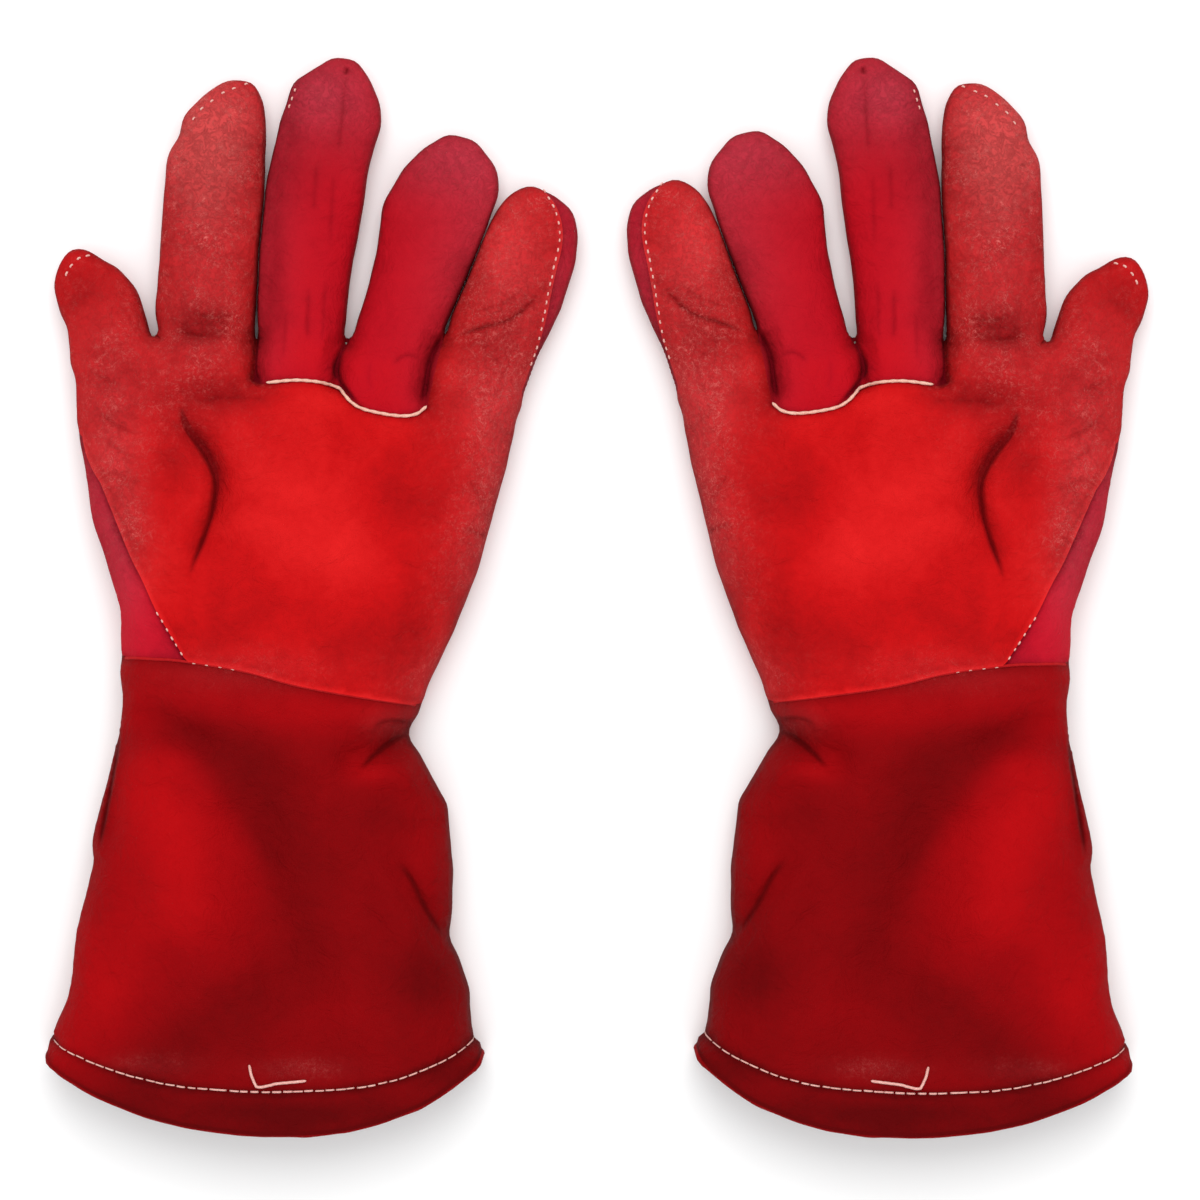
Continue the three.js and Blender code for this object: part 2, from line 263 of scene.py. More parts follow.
def glove_outline():
    nodes = ["palm_panel", "cuff_front", "wrist_welt"] + [f"{d}_front" for d in DIGITS]
    raster = Raster([f"left_{n}" for n in nodes], margin=14)
    mask = raster.fill(raster.corners)
    for d in DIGITS:
        mask |= bridge(raster, mask, BASE[d], ACROSS[d], AHEAD[d], 1.6)
    mask |= bridge(raster, mask, WRIST_IN_PATTERN, WRIST_ACROSS, WRIST_AHEAD, 2.4)
    overlap = np.array([0, 1.5])
    hem = np.vstack([curve_through(HEM_EDGE), (np.array(HEM_LINE) + overlap)[::-1]])
    mask |= inside(raster.centres, hem)
    for start, end, width in WEB_FILLS:
        gap = distance_to(raster.centres.reshape(-1, 2), np.array([start, end]))[0]
        mask |= gap.reshape(mask.shape) < width
    loop = relax(resample(trace(raster, mask), 1.0, closed=True), 8)
    loop = relax(resample(loop, SPACING, closed=True), 3)
    step = np.roll(loop, -1, 0) - np.roll(loop, 1, 0)
    outward = np.stack([step[:, 1], -step[:, 0]], 1) / np.linalg.norm(step, axis=1)[:, None]
    # the CAD leaves wider gaps between the fingers than the leather does
    reach = 0.45 * smooth(98, 112, loop[:, 1])
    for x, y, radius, out in SWELLS:
        reach += out * np.exp(-((loop[:, 0] - x) ** 2 + (loop[:, 1] - y) ** 2) / radius ** 2)
    # neighbouring fingers come close but never touch
    count = len(loop)
    apart = np.abs(np.arange(count)[:, None] - np.arange(count)[None])
    apart = np.minimum(apart, count - apart)
    gaps = np.where(apart > 6, np.linalg.norm(loop[:, None] - loop[None], axis=2), 99).min(1)
    reach = np.minimum(reach, np.maximum(0, (gaps - 0.3) / 2))
    return relax(loop + outward * reach[:, None], 1)


# ------------------------------------------------------------------ lines drawn on the pattern

WEBS = {"web1": [(-11.3, 110.4), (-11.3, 97)], "web2": [(18.5, 109.6), (16.4, 93.8)],
        "web3": [(49.4, 110), (44.6, 88)]}
WEB_NEIGHBOURS = {"web1": ("index", "middle"), "web2": ("middle", "ring"), "web3": ("ring", "little")}
WALL = 1.1            # thickness of the leather walls at the webs
WALL_GAP = 0.15       # between such a wall and the web's line
WALL_CLEAR = 3.2      # between the web's line and a lining
WALL_UNDER = 0.4      # between a wall's edge and the leather over it
PAST_TOP = 4          # how far past the web's line that holds
PAST_BOTTOM = 2
THUMB_WEB = (-43.4, 111)
MIDDLE_BASE = [(-11.3, 97), (-7, 95.6), (2.9, 96.4), (11.5, 95.5), (16.4, 93.8)]
RING_BASE = [(16.4, 93.8), (20.4, 89.2), (25, 86.8), (35, 84.9), (41, 85.4), (44.6, 88)]
WRIST_SEAM = [(-54.9, 7.2), (-44, 6.9), (-32.3, 6), (-14, 3), (3.2, -1.6), (22.9, -5.2), (42, -8.3)]
LITTLE_SEAM = [(82.6, 158.9), (86.2, 152.5), (87.9, 146), (87.6, 139.5), (85, 128.5), (82.8, 117.5),
               (80.6, 108), (77.9, 100.5), (74.6, 91.5)]
THUMB_SEAM_UPPER = [(-67.9, 80.5), (-66.2, 74), (-63.4, 68.3), (-59.6, 62.4)]
THUMB_SEAM_LOWER = [(-59.6, 62.4), (-56.4, 54), (-53.3, 46.5), (-50.1, 39.1), (-46.5, 32), (-42.3, 22.8),
                    (-37.2, 14.2), (-32.3, 6)]
THUMB_CREASE = [(-34.8, 89), (-31.9, 80.5), (-27, 73), (-23.4, 65.2), (-23.8, 56), (-26.6, 46),
                (-30.1, 37), (-31.7, 31.2)]


class Pattern:
    """The flat pattern as a triangle mesh whose edges follow the outline and the drawn lines."""

    def __init__(self, spacing):
        self.spacing = spacing
        self.loop = glove_outline()
        if spacing > SPACING:
            self.loop = self.coarser(self.loop)
        self.points = [tuple(p) for p in self.loop]
        self.rim = list(range(len(self.points)))
        self.lines = {}

    def coarser(self, fine):
        """The outline with fewer points, which keeps the notches between the digits."""
        loop = resample(fine, self.spacing, closed=True)
        for notch in [THUMB_WEB, *(line[0] for line in WEBS.values())]:
            exact = fine[np.argmin(np.linalg.norm(fine - notch, axis=1))]
            loop[np.argmin(np.linalg.norm(loop - exact, axis=1))] = exact
        return loop

    def nearest(self, point, among):
        return min(among, key=lambda i: math.dist(self.points[i], point))

    def draw(self, name, points, start=None, end=None):
        """Adds a line. Its start and end may be names of lines, or "rim", that they lie on."""
        line = curve_through(points, self.spacing)
        ids = []
        for k, point in enumerate(line):
            on = start if k == 0 else end if k == len(line) - 1 else None
            if on is None:
                self.points.append(tuple(point))
                ids.append(len(self.points) - 1)
            elif on == "rim":
                ids.append(self.nearest(point, self.rim))
            else:
                ids.append(self.nearest(point, self.lines[on]))
        self.lines[name] = ids

    def rim_point(self, base, across, ahead, side):
        """Where a straight line across a body meets the outline, to the left (-1) or right (1)."""
        loop = np.array([self.points[i] for i in self.rim])
        along, beside = (loop - base) @ ahead, (loop - base) @ across * side
        at = np.flatnonzero((along * np.roll(along, -1) <= 0) & (beside > 0))
        first = at[np.argmin(beside[at])]
        a, b = along[first], np.roll(along, -1)[first]
        reach = beside[first] + a / (a - b) * (np.roll(beside, -1)[first] - beside[first])
        return tuple(base + side * reach * across)

    def edge_rows(self, fixed):
        """Rows of points just inside the outline, where the leather curves most."""
        step = np.roll(self.loop, -1, 0) - np.roll(self.loop, 1, 0)
        inward = np.stack([-step[:, 1], step[:, 0]], 1) / np.linalg.norm(step, axis=1)[:, None]
        rows = []
        for depth in (0.45, 1.15):
            row = self.loop + depth * inward
            gaps = np.array([np.linalg.norm(fixed - p, axis=1).min() for p in row])
            rows.append(row[gaps > 0.85 * depth])
        return np.concatenate(rows)

    def crease_rows(self, fixed):
        """Rows of points along the narrow creases, so that they stay sharp."""
        kept = list(fixed)
        for line in [line for line, _ in CREASES] + [THUMB_CREASE]:
            path = curve_through(line, 1.1)
            way = np.gradient(path, axis=0)
            beside = np.stack([-way[:, 1], way[:, 0]], 1) / np.linalg.norm(way, axis=1)[:, None]
            for offset in (0, -0.6, 0.6, -1.3, 1.3):
                for point in path + offset * beside:
                    if np.linalg.norm(np.array(kept) - point, axis=1).min() > 0.5:
                        kept.append(point)
        return np.array(kept[len(fixed):])

    def mesh(self):
        rng = np.random.default_rng(7)
        spacing = self.spacing
        fixed = np.array(self.points)
        if spacing == SPACING:
            fixed = np.vstack([fixed, self.edge_rows(fixed)])
            extra = self.crease_rows(fixed)
            fixed = np.vstack([fixed, extra[inside(extra, self.loop)]])
        low, high = self.loop.min(0), self.loop.max(0)
        free = []
        for r, y in enumerate(np.arange(low[1], high[1], spacing * math.sqrt(3) / 2)):
            xs = np.arange(low[0] + (r % 2) * spacing / 2, high[0], spacing)
            row = np.stack([xs, np.full_like(xs, y)], 1) + rng.normal(0, 0.05 * spacing, (len(xs), 2))
            near = np.abs(fixed[:, 1] - y) < spacing
            if near.any():
                gaps = np.linalg.norm(row[:, None] - fixed[near][None], axis=2).min(1)
                row = row[gaps > 0.65 * spacing]
            free.extend(map(tuple, row))
        edges = []
        names = []
        for name, ids in self.lines.items():
            for pair in zip(ids, ids[1:]):
                edges.append(pair)
                names.append(name)
        verts = [Vector(p) for p in [*map(tuple, fixed), *free]]
        points, made_edges, tris, old_points, old_edges, _ = geometry.delaunay_2d_cdt(
            verts, edges, [self.rim], 1, 1e-5)
        self.points = np.array([tuple(p) for p in points])
        self.tris = np.array(tris)
        self.edges = {name: set() for name in self.lines}
        for edge, olds in zip(made_edges, old_edges):
            for old in olds:
                if old < len(edges):
                    self.edges[names[old]].add(frozenset(edge))
        a, b, c = (self.points[self.tris[:, k]] for k in range(3))
        clockwise = np.cross(b - a, c - a) < 0
        self.tris[clockwise] = self.tris[clockwise][:, ::-1]
        self.boundary = boundary_edges(self.tris)

    def flood(self, line_names, seeds):
        """Names each triangle after the seed it can be reached from without crossing the lines."""
        barriers = set().union(*(self.edges[n] for n in line_names))
        by_edge = {}
        for t, tri in enumerate(self.tris):
            for i in range(3):
                by_edge.setdefault(frozenset((tri[i], tri[(i + 1) % 3])), []).append(t)
        centres = self.points[self.tris].mean(1)
        names = np.full(len(self.tris), "", dtype="<U16")
        for name, seed in seeds.items():
            stack = [int(np.argmin(np.linalg.norm(centres - seed, axis=1)))]
            names[stack[0]] = name
            while stack:
                tri = self.tris[stack.pop()]
                for i in range(3):
                    edge = frozenset((tri[i], tri[(i + 1) % 3]))
                    if edge in barriers:
                        continue
                    for other in by_edge[edge]:
                        if names[other] != name:
                            names[other] = name
                            stack.append(other)
        return names


def boundary_edges(tris):
    """The directed edges that belong to one triangle only."""
    edges = np.concatenate([tris[:, [0, 1]], tris[:, [1, 2]], tris[:, [2, 0]]])
    known = {tuple(e) for e in edges.tolist()}
    return np.array([e for e in edges.tolist() if (e[1], e[0]) not in known])


JOINT_LINES = ["index_base", "middle_base", "ring_base", "little_base", "thumb_base", "wrist", "hem",
               "web1", "web2", "web3"]
STRIP_SEAMS = ["little_seam", "thumb_seam_upper", "thumb_seam_lower"]
SEEDS = {"hand": (0, 40), "cuff": (0, -60), "hem": (0, -140), "thumb": (-62, 115), "index": (-26, 140),
         "middle": (5, 140), "ring": (38, 130), "little": (68, 120)}
STRIP_SEEDS = {"hand_strip": (-53, 20), "thumb_strip": (-64.6, 66.5), "little_strip": (90, 143)}


def draw_pattern(spacing):
    pattern = Pattern(spacing)
    for name, points in WEBS.items():
        pattern.draw(name, points, "rim")
    pattern.draw("index_base", [THUMB_WEB, (-27.5, 103), (-11.4, 102)], "rim", "web1")
    pattern.draw("middle_base", MIDDLE_BASE, "web1", "web2")
    pattern.draw("ring_base", RING_BASE, "web2", "web3")
    right = pattern.rim_point(BASE["little"], ACROSS["little"], AHEAD["little"], 1)
    pattern.draw("little_base", [(44.6, 88), (58.8, 83.7), right], "web3", "rim")
    left = pattern.rim_point(BASE["thumb"], ACROSS["thumb"], AHEAD["thumb"], -1)
    middle = tuple((np.array(left) + THUMB_WEB) / 2)
    pattern.draw("thumb_base", [left, middle, THUMB_WEB], "rim", "rim")
    pattern.draw("wrist", WRIST_SEAM, "rim", "rim")
    pattern.draw("hem", HEM_LINE, "rim", "rim")
    if spacing == SPACING:
        pattern.draw("little_seam", LITTLE_SEAM, "rim", "rim")
        pattern.draw("thumb_seam_upper", THUMB_SEAM_UPPER, "rim", "thumb_base")
        joined = pattern.points[pattern.lines["thumb_seam_upper"][-1]]
        pattern.draw("thumb_seam_lower", [joined, *THUMB_SEAM_LOWER[1:]], "thumb_base", "wrist")
        pattern.draw("crease", THUMB_CREASE)
    pattern.mesh()
    pattern.back_names = pattern.flood(JOINT_LINES, SEEDS)
    if spacing == SPACING:
        pattern.front_names = pattern.flood(JOINT_LINES + STRIP_SEAMS, {**SEEDS, **STRIP_SEEDS})
    return pattern


def line_ends(pattern, name):
    """Where a drawn line meets the outline: its lowest and its highest such point."""
    on_line = {i for edge in pattern.edges[name] for i in edge}
    ends = sorted(on_line & set(np.unique(pattern.boundary)), key=lambda i: pattern.points[i][1])
    return np.array([pattern.points[i] for i in ends])[[0, -1]]


# ------------------------------------------------------------------ blowing the pattern up

def corner_weights(points, tris):
    """Edge weights and point areas of the usual finite-element Laplacian."""
    rows, columns, weights = [], [], []
    areas = np.zeros(len(points))
    for k in range(3):
        a, b, c = tris[:, k], tris[:, (k + 1) % 3], tris[:, (k + 2) % 3]
        u, v = points[b] - points[a], points[c] - points[a]
        doubled = np.cross(u, v)
        rows.append(b)
        columns.append(c)
        weights.append(np.clip((u * v).sum(1) / doubled / 2, 1e-3, 20))
        areas += np.bincount(a, doubled / 6, len(points))
    return np.concatenate(rows), np.concatenate(columns), np.concatenate(weights), areas


def puff(pattern, sealed):
    """Solves for a soap film under even pressure, held at the sealed points, by conjugate
    gradients. Over a strip of half-width w the result is (w^2 - x^2) / 2."""
    a, b, w, areas = corner_weights(pattern.points, pattern.tris)
    count = len(pattern.points)
    free = np.zeros(count, bool)
    free[np.unique(pattern.tris)] = True
    free[sealed] = False

    def pull(x):
        flow = w * (x[a] - x[b])
        return (np.bincount(a, flow, count) - np.bincount(b, flow, count)) * free

    x = np.zeros(count)
    r = areas * free
    p = r.copy()
    size = r @ r
    for _ in range(1500):
        q = pull(p)
        step = size / (p @ q)
        x += step * p
        r -= step * q
        following = r @ r
        if following < 1e-10 * (areas @ areas):
            break
        p = r + following / size * p
        size = following
    return np.maximum(x, 0)


def distance_to(points, line):
    """Distance of each point to a line, the share of the line's length at the nearest place, and
    the side of the line it is on: 1 for the left of the line's direction, -1 for the right."""
    line = np.asarray(line, float)
    best = np.full(len(points), 1e9)
    share = np.zeros(len(points))
    side = np.ones(len(points))
    for i, (start, end) in enumerate(zip(line, line[1:])):
        way = end - start
        relative = points - start
        t = np.clip(relative @ way / (way @ way), 0, 1)
        gap = np.linalg.norm(relative - t[:, None] * way, axis=1)
        closer = gap < best
        best[closer] = gap[closer]
        share[closer] = (i + t[closer]) / (len(line) - 1)
        side[closer] = np.where(np.cross(way, relative[closer]) >= 0, 1, -1)
    return best, share, side


def fold(points, line, height, width, fade=0.25):
    """A soft ridge, or a valley where height is negative, that fades out at both ends."""
    gap, share, _ = distance_to(points, curve_through(line, 1.0))
    ends = smooth(0, fade, share) * smooth(0, fade, 1 - share) if fade else 1
    return height * ends * np.exp(-(gap / width) ** 2)


def waves(points, size, seed, detail=2):
    """Smooth random height between about -1 and 1, with bumps of a given size."""
    return np.array([
        noise.fractal(Vector((x / size, y / size, seed)), 0.7, 2.1, detail) for x, y in points])


# Folds of the palm side: the line, the height, the half-width, and the share of the line over which
# each end fades out.
FRONT_FOLDS = [
    # between the fingers
    ([(-11.6, 114), (-11.3, 104), (-10.8, 95.5)], -8, 2.6, 0.12),
    ([(17.6, 112), (15.4, 102), (16, 91.5)], -8, 2.8, 0.12),
    ([(49, 112), (44.9, 102), (43, 87.5)], -7.5, 2.6, 0.12),
    # roots of the set-in middle and ring fingers
    ([(-11.3, 97), (-7, 95.6), (2.9, 96.2), (11.5, 95.3), (16.4, 93.6)], -1.6, 2.2, 0.1),
    ([(16.4, 93.6), (20.4, 89), (25, 86.6), (35, 84.7), (41, 85.2), (44.6, 88)], -2, 2.2, 0.1),
    ([(-8, 89), (6, 89), (15, 85), (25, 79), (38, 78), (46, 81)], 1.5, 5, 0.3),
    # fingers
    ([(-40, 116), (-28, 112), (-14, 113.5)], -1.1, 2.6, 0.3),
    ([(-38, 109), (-26, 106.5), (-14, 107.5)], 0.9, 3, 0.3),
    ([(-35, 171), (-27, 168)], -0.7, 2.5, 0.3),
    ([(13.5, 181), (12.5, 161)], -0.8, 1.5, 0.3),
    ([(7.5, 122), (7, 109)], -0.9, 1.6, 0.3),
    ([(26, 150), (38, 147)], -0.5, 3, 0.3),
    ([(53, 116.5), (62, 116), (72, 119), (81, 124)], -1.3, 2.4, 0.3),
    ([(54, 111.5), (63, 111), (73, 114), (80, 118)], 1, 2.6, 0.3),
    ([(56, 124), (66, 125), (74, 129)], -0.7, 2.4, 0.3),
    # thumb
    ([(-64, 106), (-56, 101), (-50, 98)], -1, 3, 0.3),
    ([(-60, 84), (-50, 79), (-42, 77)], -1.1, 3, 0.3),
    ([(-56, 74), (-48, 70), (-40, 69)], 0.9, 3.5, 0.3),
    ([(-66, 94), (-58, 88), (-52, 86)], 0.8, 3.5, 0.3),
    # palm
    ([(-20, 72), (5, 66), (30, 58), (52, 40)], -1.6, 12, 0.3),
    ([(-28, 30), (-10, 20), (12, 18)], -1.4, 9, 0.3),
    ([(-40, 60), (-36, 45), (-34, 30)], 2.2, 9, 0.3),
    ([(58, 62), (62, 40), (54, 16)], 1.2, 6, 0.3),
    ([(44, 30), (50, 12), (44, -2)], -1.4, 5, 0.3),
    # cuff: the pinch under the wrist at the right, and the broad fold down the left
    ([(43, -17.5), (35, -20.5), (26, -24), (14, -29)], -5, 5, 0.25),
    ([(48, -37), (38, -31), (27, -28.5), (16, -32)], 3.4, 5, 0.3),
    ([(49, -26), (42, -24)], -2.5, 3, 0.3),
    ([(30, -50), (36, -60), (43, -71), (51.5, -86)], -2.6, 3.6, 0.25),
    ([(24, -54), (31, -66), (38, -80), (47, -94)], 2.2, 5.5, 0.3),
    ([(50.5, -44), (42, -48), (36, -56)], -1.6, 4, 0.3),
    ([(-52, -9), (-40, -14), (-30, -18.5), (-18, -21)], -3.2, 4.5, 0.25),
    ([(-54, -22), (-40, -27), (-28, -34), (-18, -46)], 3, 7, 0.3),
    ([(-46, -36), (-38, -58), (-27, -84), (-22, -116)], 4.2, 13, 0.25),
    ([(-22, -28), (-12, -52), (-3, -84), (2, -118)], -4.6, 13, 0.25),
    ([(-50, -68), (-34, -71), (-18, -80)], 2, 6, 0.3),
    ([(-56, -30), (-56, -45), (-61, -57)], -2.4, 3, 0.3),
    ([(-8, -22), (6, -26), (18, -25)], 1.8, 6, 0.3),
    ([(22, -88), (26, -106), (24, -122)], 2, 10, 0.3),
    ([(-60, -88), (-54, -104), (-52, -118)], -1.4, 7, 0.3),
]

# Folds of the back, in the same way.
BACK_FOLDS = [
    ([(-40, 100), (-20, 98), (10, 92), (40, 84), (66, 76)], 2.2, 5, 0.2),
    ([(-30, 88), (0, 82), (35, 74), (58, 64)], 1.6, 6, 0.2),
    ([(-46, -8), (-30, -15), (-10, -18), (20, -20), (40, -22)], 2.6, 5, 0.2),
    ([(-40, -30), (-20, -60), (-14, -100)], 2.2, 9, 0.25),
    ([(20, -30), (14, -64), (22, -104)], 2, 9, 0.25),
]


def thumb_crease(points):
    """The thumb's leather swells and then dives into a sharp crease in the palm."""
    gap, share, side = distance_to(points, curve_through(THUMB_CREASE, 1.0))
    along = smooth(0, 0.3, share) * smooth(0, 0.4, 1 - share)
    thumb_side = 4.5 * np.exp(-((gap - 5) / 6) ** 2) - 5.0 * np.exp(-(gap / 1.1) ** 2)
    palm_side = 0.8 * np.exp(-((gap - 12) / 6) ** 2) - 4.2 * np.exp(-(gap / 6) ** 2)
    return along * np.where(side > 0, palm_side, thumb_side)


# Narrow creases of the palm side: the line and the depth.
CREASES = [
    # down between the fingers, to the piping
    ([(-11.2, 114), (-11.4, 104), (-11, 97.5), (-8.4, 94.2)], 1.7),
    ([(19.4, 113), (16.2, 105), (14.8, 99), (14.2, 95.4)], 1.5),
    ([(16, 106), (14.9, 101), (16.4, 96.4), (19.4, 92.4), (23.4, 87.8)], 1.6),
    ([(50, 114), (45.4, 103.6), (44, 95), (42.4, 88)], 1.7),
    # fingers
    ([(18.5, 198.6), (17.9, 195.4)], 1.0), ([(17.9, 196), (17.2, 184), (15.6, 168)], 0.5),
    ([(9, 168), (7.6, 150)], 0.35), ([(14.6, 166), (13.6, 150), (13, 138)], 0.35),
    ([(6.4, 128), (6, 108)], 0.5), ([(11.8, 130), (10.6, 106)], 0.4), ([(-1, 120), (-1.6, 102)], 0.4),
    ([(52, 110), (61, 113.4), (70, 116), (76, 120), (82, 127)], 0.9),
    ([(58, 119), (68, 121), (76, 127)], 0.4),
    ([(33, 101), (38, 104.6), (43, 103)], 0.6), ([(28, 92), (26, 97), (27, 104)], 0.3),
    ([(-38, 113), (-28, 111), (-18, 113)], 0.4), ([(-33, 118.5), (-24, 117), (-16, 118)], 0.3),
    ([(-38, 169), (-31, 167)], 0.5), ([(-37, 176), (-31.5, 178)], 0.4),
    # thumb
    ([(-64, 100), (-58, 96), (-53, 95)], 0.4), ([(-62, 88), (-56, 82), (-48, 79)], 0.5),
    ([(-60, 78), (-53, 73), (-46, 71)], 0.5), ([(-57, 68), (-51, 64), (-46, 63)], 0.35),
    # palm
    ([(-30, 89.4), (-18, 90.6), (-4, 90)], 0.25), ([(56, 68), (62, 58), (64, 48)], 0.3),
    ([(56, 49), (60, 47.6), (65.5, 45)], 0.6),
    # cuff
    ([(38.4, -17), (33, -20), (27, -24.5), (23, -29)], 1.3), ([(40, -14), (33, -13), (27, -15)], 0.7),
    ([(34, -57), (39.4, -63.7), (44, -73), (51, -85)], 0.9),
    ([(-54.8, -14), (-56, -25), (-58.4, -38), (-61.6, -56)], 2.0),
]


def creases(points):
    return sum(fold(points, line, -depth, CREASE_WIDTH, 0.3) for line, depth in CREASES)


def pucker(points, line, height, wave, reach):
    """The small waves that a tight row of stitches draws into the leather beside it."""
    gap, share, _ = distance_to(points, line)
    length = np.linalg.norm(np.diff(line, axis=0), axis=1).sum()
    along = share * length
    ripple = np.sin(2 * math.pi * along / wave + 2.1 * np.sin(along / (1.7 * wave)) + 0.7)
    return height * ripple * np.exp(-(gap / reach) ** 2)


class Glove:
    """The palm-side sheet and the back sheet in space, joined at the outline."""

    def __init__(self, pattern):
        self.pattern = pattern
        flat, count = pattern.points, len(pattern.points)
        rim = np.unique(pattern.boundary)
        mouth = rim[flat[rim, 1] < MOUTH_Y]
        sealed = np.setdiff1d(rim, mouth)
        reach = np.sqrt(2 * puff(pattern, sealed))
        lift = DEEPEST * np.tanh(FULLNESS * reach / DEEPEST)
        drop = SEAM_Z * np.tanh(BACK_FULLNESS * FULLNESS * reach / SEAM_Z)

        # folds and waves fade out towards the outline
        inner = smooth(0.5, 7, reach)
        top = sum(fold(flat, *f) for f in FRONT_FOLDS)
        top = top + 0.9 * waves(flat, 26, 3.1) + 0.3 * waves(flat, 9, 8.4)
        cuff = smooth(5, -25, flat[:, 1])
        top = top + cuff * 1.0 * waves(flat * (1, 0.55), 22, 5.7)
        bottom = sum(fold(flat, *f) for f in BACK_FOLDS) + 0.6 * np.abs(waves(flat, 24, 6.6))
        edge = flat[outline_order(pattern)]
        edge = np.vstack([edge, edge[:1]])
        self.rim_gap = distance_to(flat, edge)[0]
        tight = pucker(flat, edge, 0.55, 7.5, 7) * smooth(-112, -100, flat[:, 1])
        tight = tight + pucker(flat, curve_through(WRIST_SEAM, 2), 0.45, 6.2, 5)
        tight = tight + pucker(flat, curve_through(HEM_LINE, 2), 0.4, 7.8, 6)
        for line in (THUMB_SEAM_LOWER, LITTLE_SEAM, MIDDLE_BASE, RING_BASE):
            tight = tight + pucker(flat, curve_through(line, 2), 0.3, 5.2, 4)
        lift = lift + inner * (top + tight)
        drop = drop - inner * (np.minimum(bottom, 0.7 * drop) + 0.5 * tight)

        z_top = SEAM_Z + lift
        z_back = np.maximum(FLOOR_GAP, SEAM_Z - drop)
        z_top = np.maximum(z_top, z_back + 2 * (LEATHER + LINING_GAP + LINING) * smooth(0, 6, reach))
        z_top[sealed] = z_back[sealed] = SEAM_Z
        self.points = np.vstack([np.column_stack([flat, z_top]), np.column_stack([flat, z_back])])
        self.back_of = np.arange(count) + count
        self.back_of[sealed] = sealed
        self.front_tris = pattern.tris
        self.back_tris = self.back_of[pattern.tris][:, ::-1]
        self.tris = np.vstack([self.front_tris, self.back_tris])
        self.soften(2)
        self.points[:count, 2] += inner * (thumb_crease(flat) + creases(flat))
        self.normals = point_normals(self.points, self.tris)

    def soften(self, times):
        """Takes the kinks out of the sheets, apart from their open edge."""
        a = np.concatenate([self.tris[:, k] for k in range(3)])
        b = np.concatenate([self.tris[:, (k + 1) % 3] for k in range(3)])
        a, b = np.concatenate([a, b]), np.concatenate([b, a])
        count = len(self.points)
        fixed = np.zeros(count, bool)
        fixed[np.unique(boundary_edges(self.tris))] = True
        degree = np.maximum(np.bincount(a, minlength=count), 1)
        for _ in range(times):
            mean = np.bincount(a, self.points[b, 2], count) / degree
            moved = self.points[:, 2] + 0.5 * (mean - self.points[:, 2])
            self.points[:, 2] = np.where(fixed | (degree < 2), self.points[:, 2], moved)


def outline_order(pattern):
    """The outline's points in order."""
    after = {a: b for a, b in pattern.boundary.tolist()}
    order = [pattern.boundary[0][0]]
    while after[order[-1]] != order[0]:
        order.append(after[order[-1]])
    return order


def point_normals(points, tris):
    a, b, c = (points[tris[:, k]] for k in range(3))
    face = np.cross(b - a, c - a)
    normals = np.zeros_like(points)
    for k in range(3):
        for axis in range(3):
            normals[:, axis] += np.bincount(tris[:, k], face[:, axis], len(points))
    return normals / np.maximum(np.linalg.norm(normals, axis=1), 1e-9)[:, None]


# ------------------------------------------------------------------ placing pieces in the row frame

class Hand:
    """Carries points from the pattern frame, in millimetres, to one glove's place, in metres."""

    def __init__(self, side):
        self.side = side
        self.mirror = side == "right"
        self.turn = np.eye(2)
        self.shift = PATTERN_ORIGIN
        if self.mirror:
            place, across, _ = joint("right_wrist_fold")
            flipped = WRIST_ACROSS * (-1, 1)
            angle = math.atan2(-across[1], -across[0]) - math.atan2(flipped[1], flipped[0])
            cos, sin = math.cos(angle), math.sin(angle)
            self.turn = np.array([[cos, -sin], [sin, cos]]) @ np.diag([-1, 1])
            self.shift = place - self.turn @ WRIST_IN_PATTERN

    def vectors(self, vectors):
        vectors = np.asarray(vectors, float)
        return np.column_stack([vectors[:, :2] @ self.turn.T, vectors[:, 2]])

    def place(self, points):
        placed = self.vectors(points)
        placed[:, :2] += self.shift
        return placed * MM


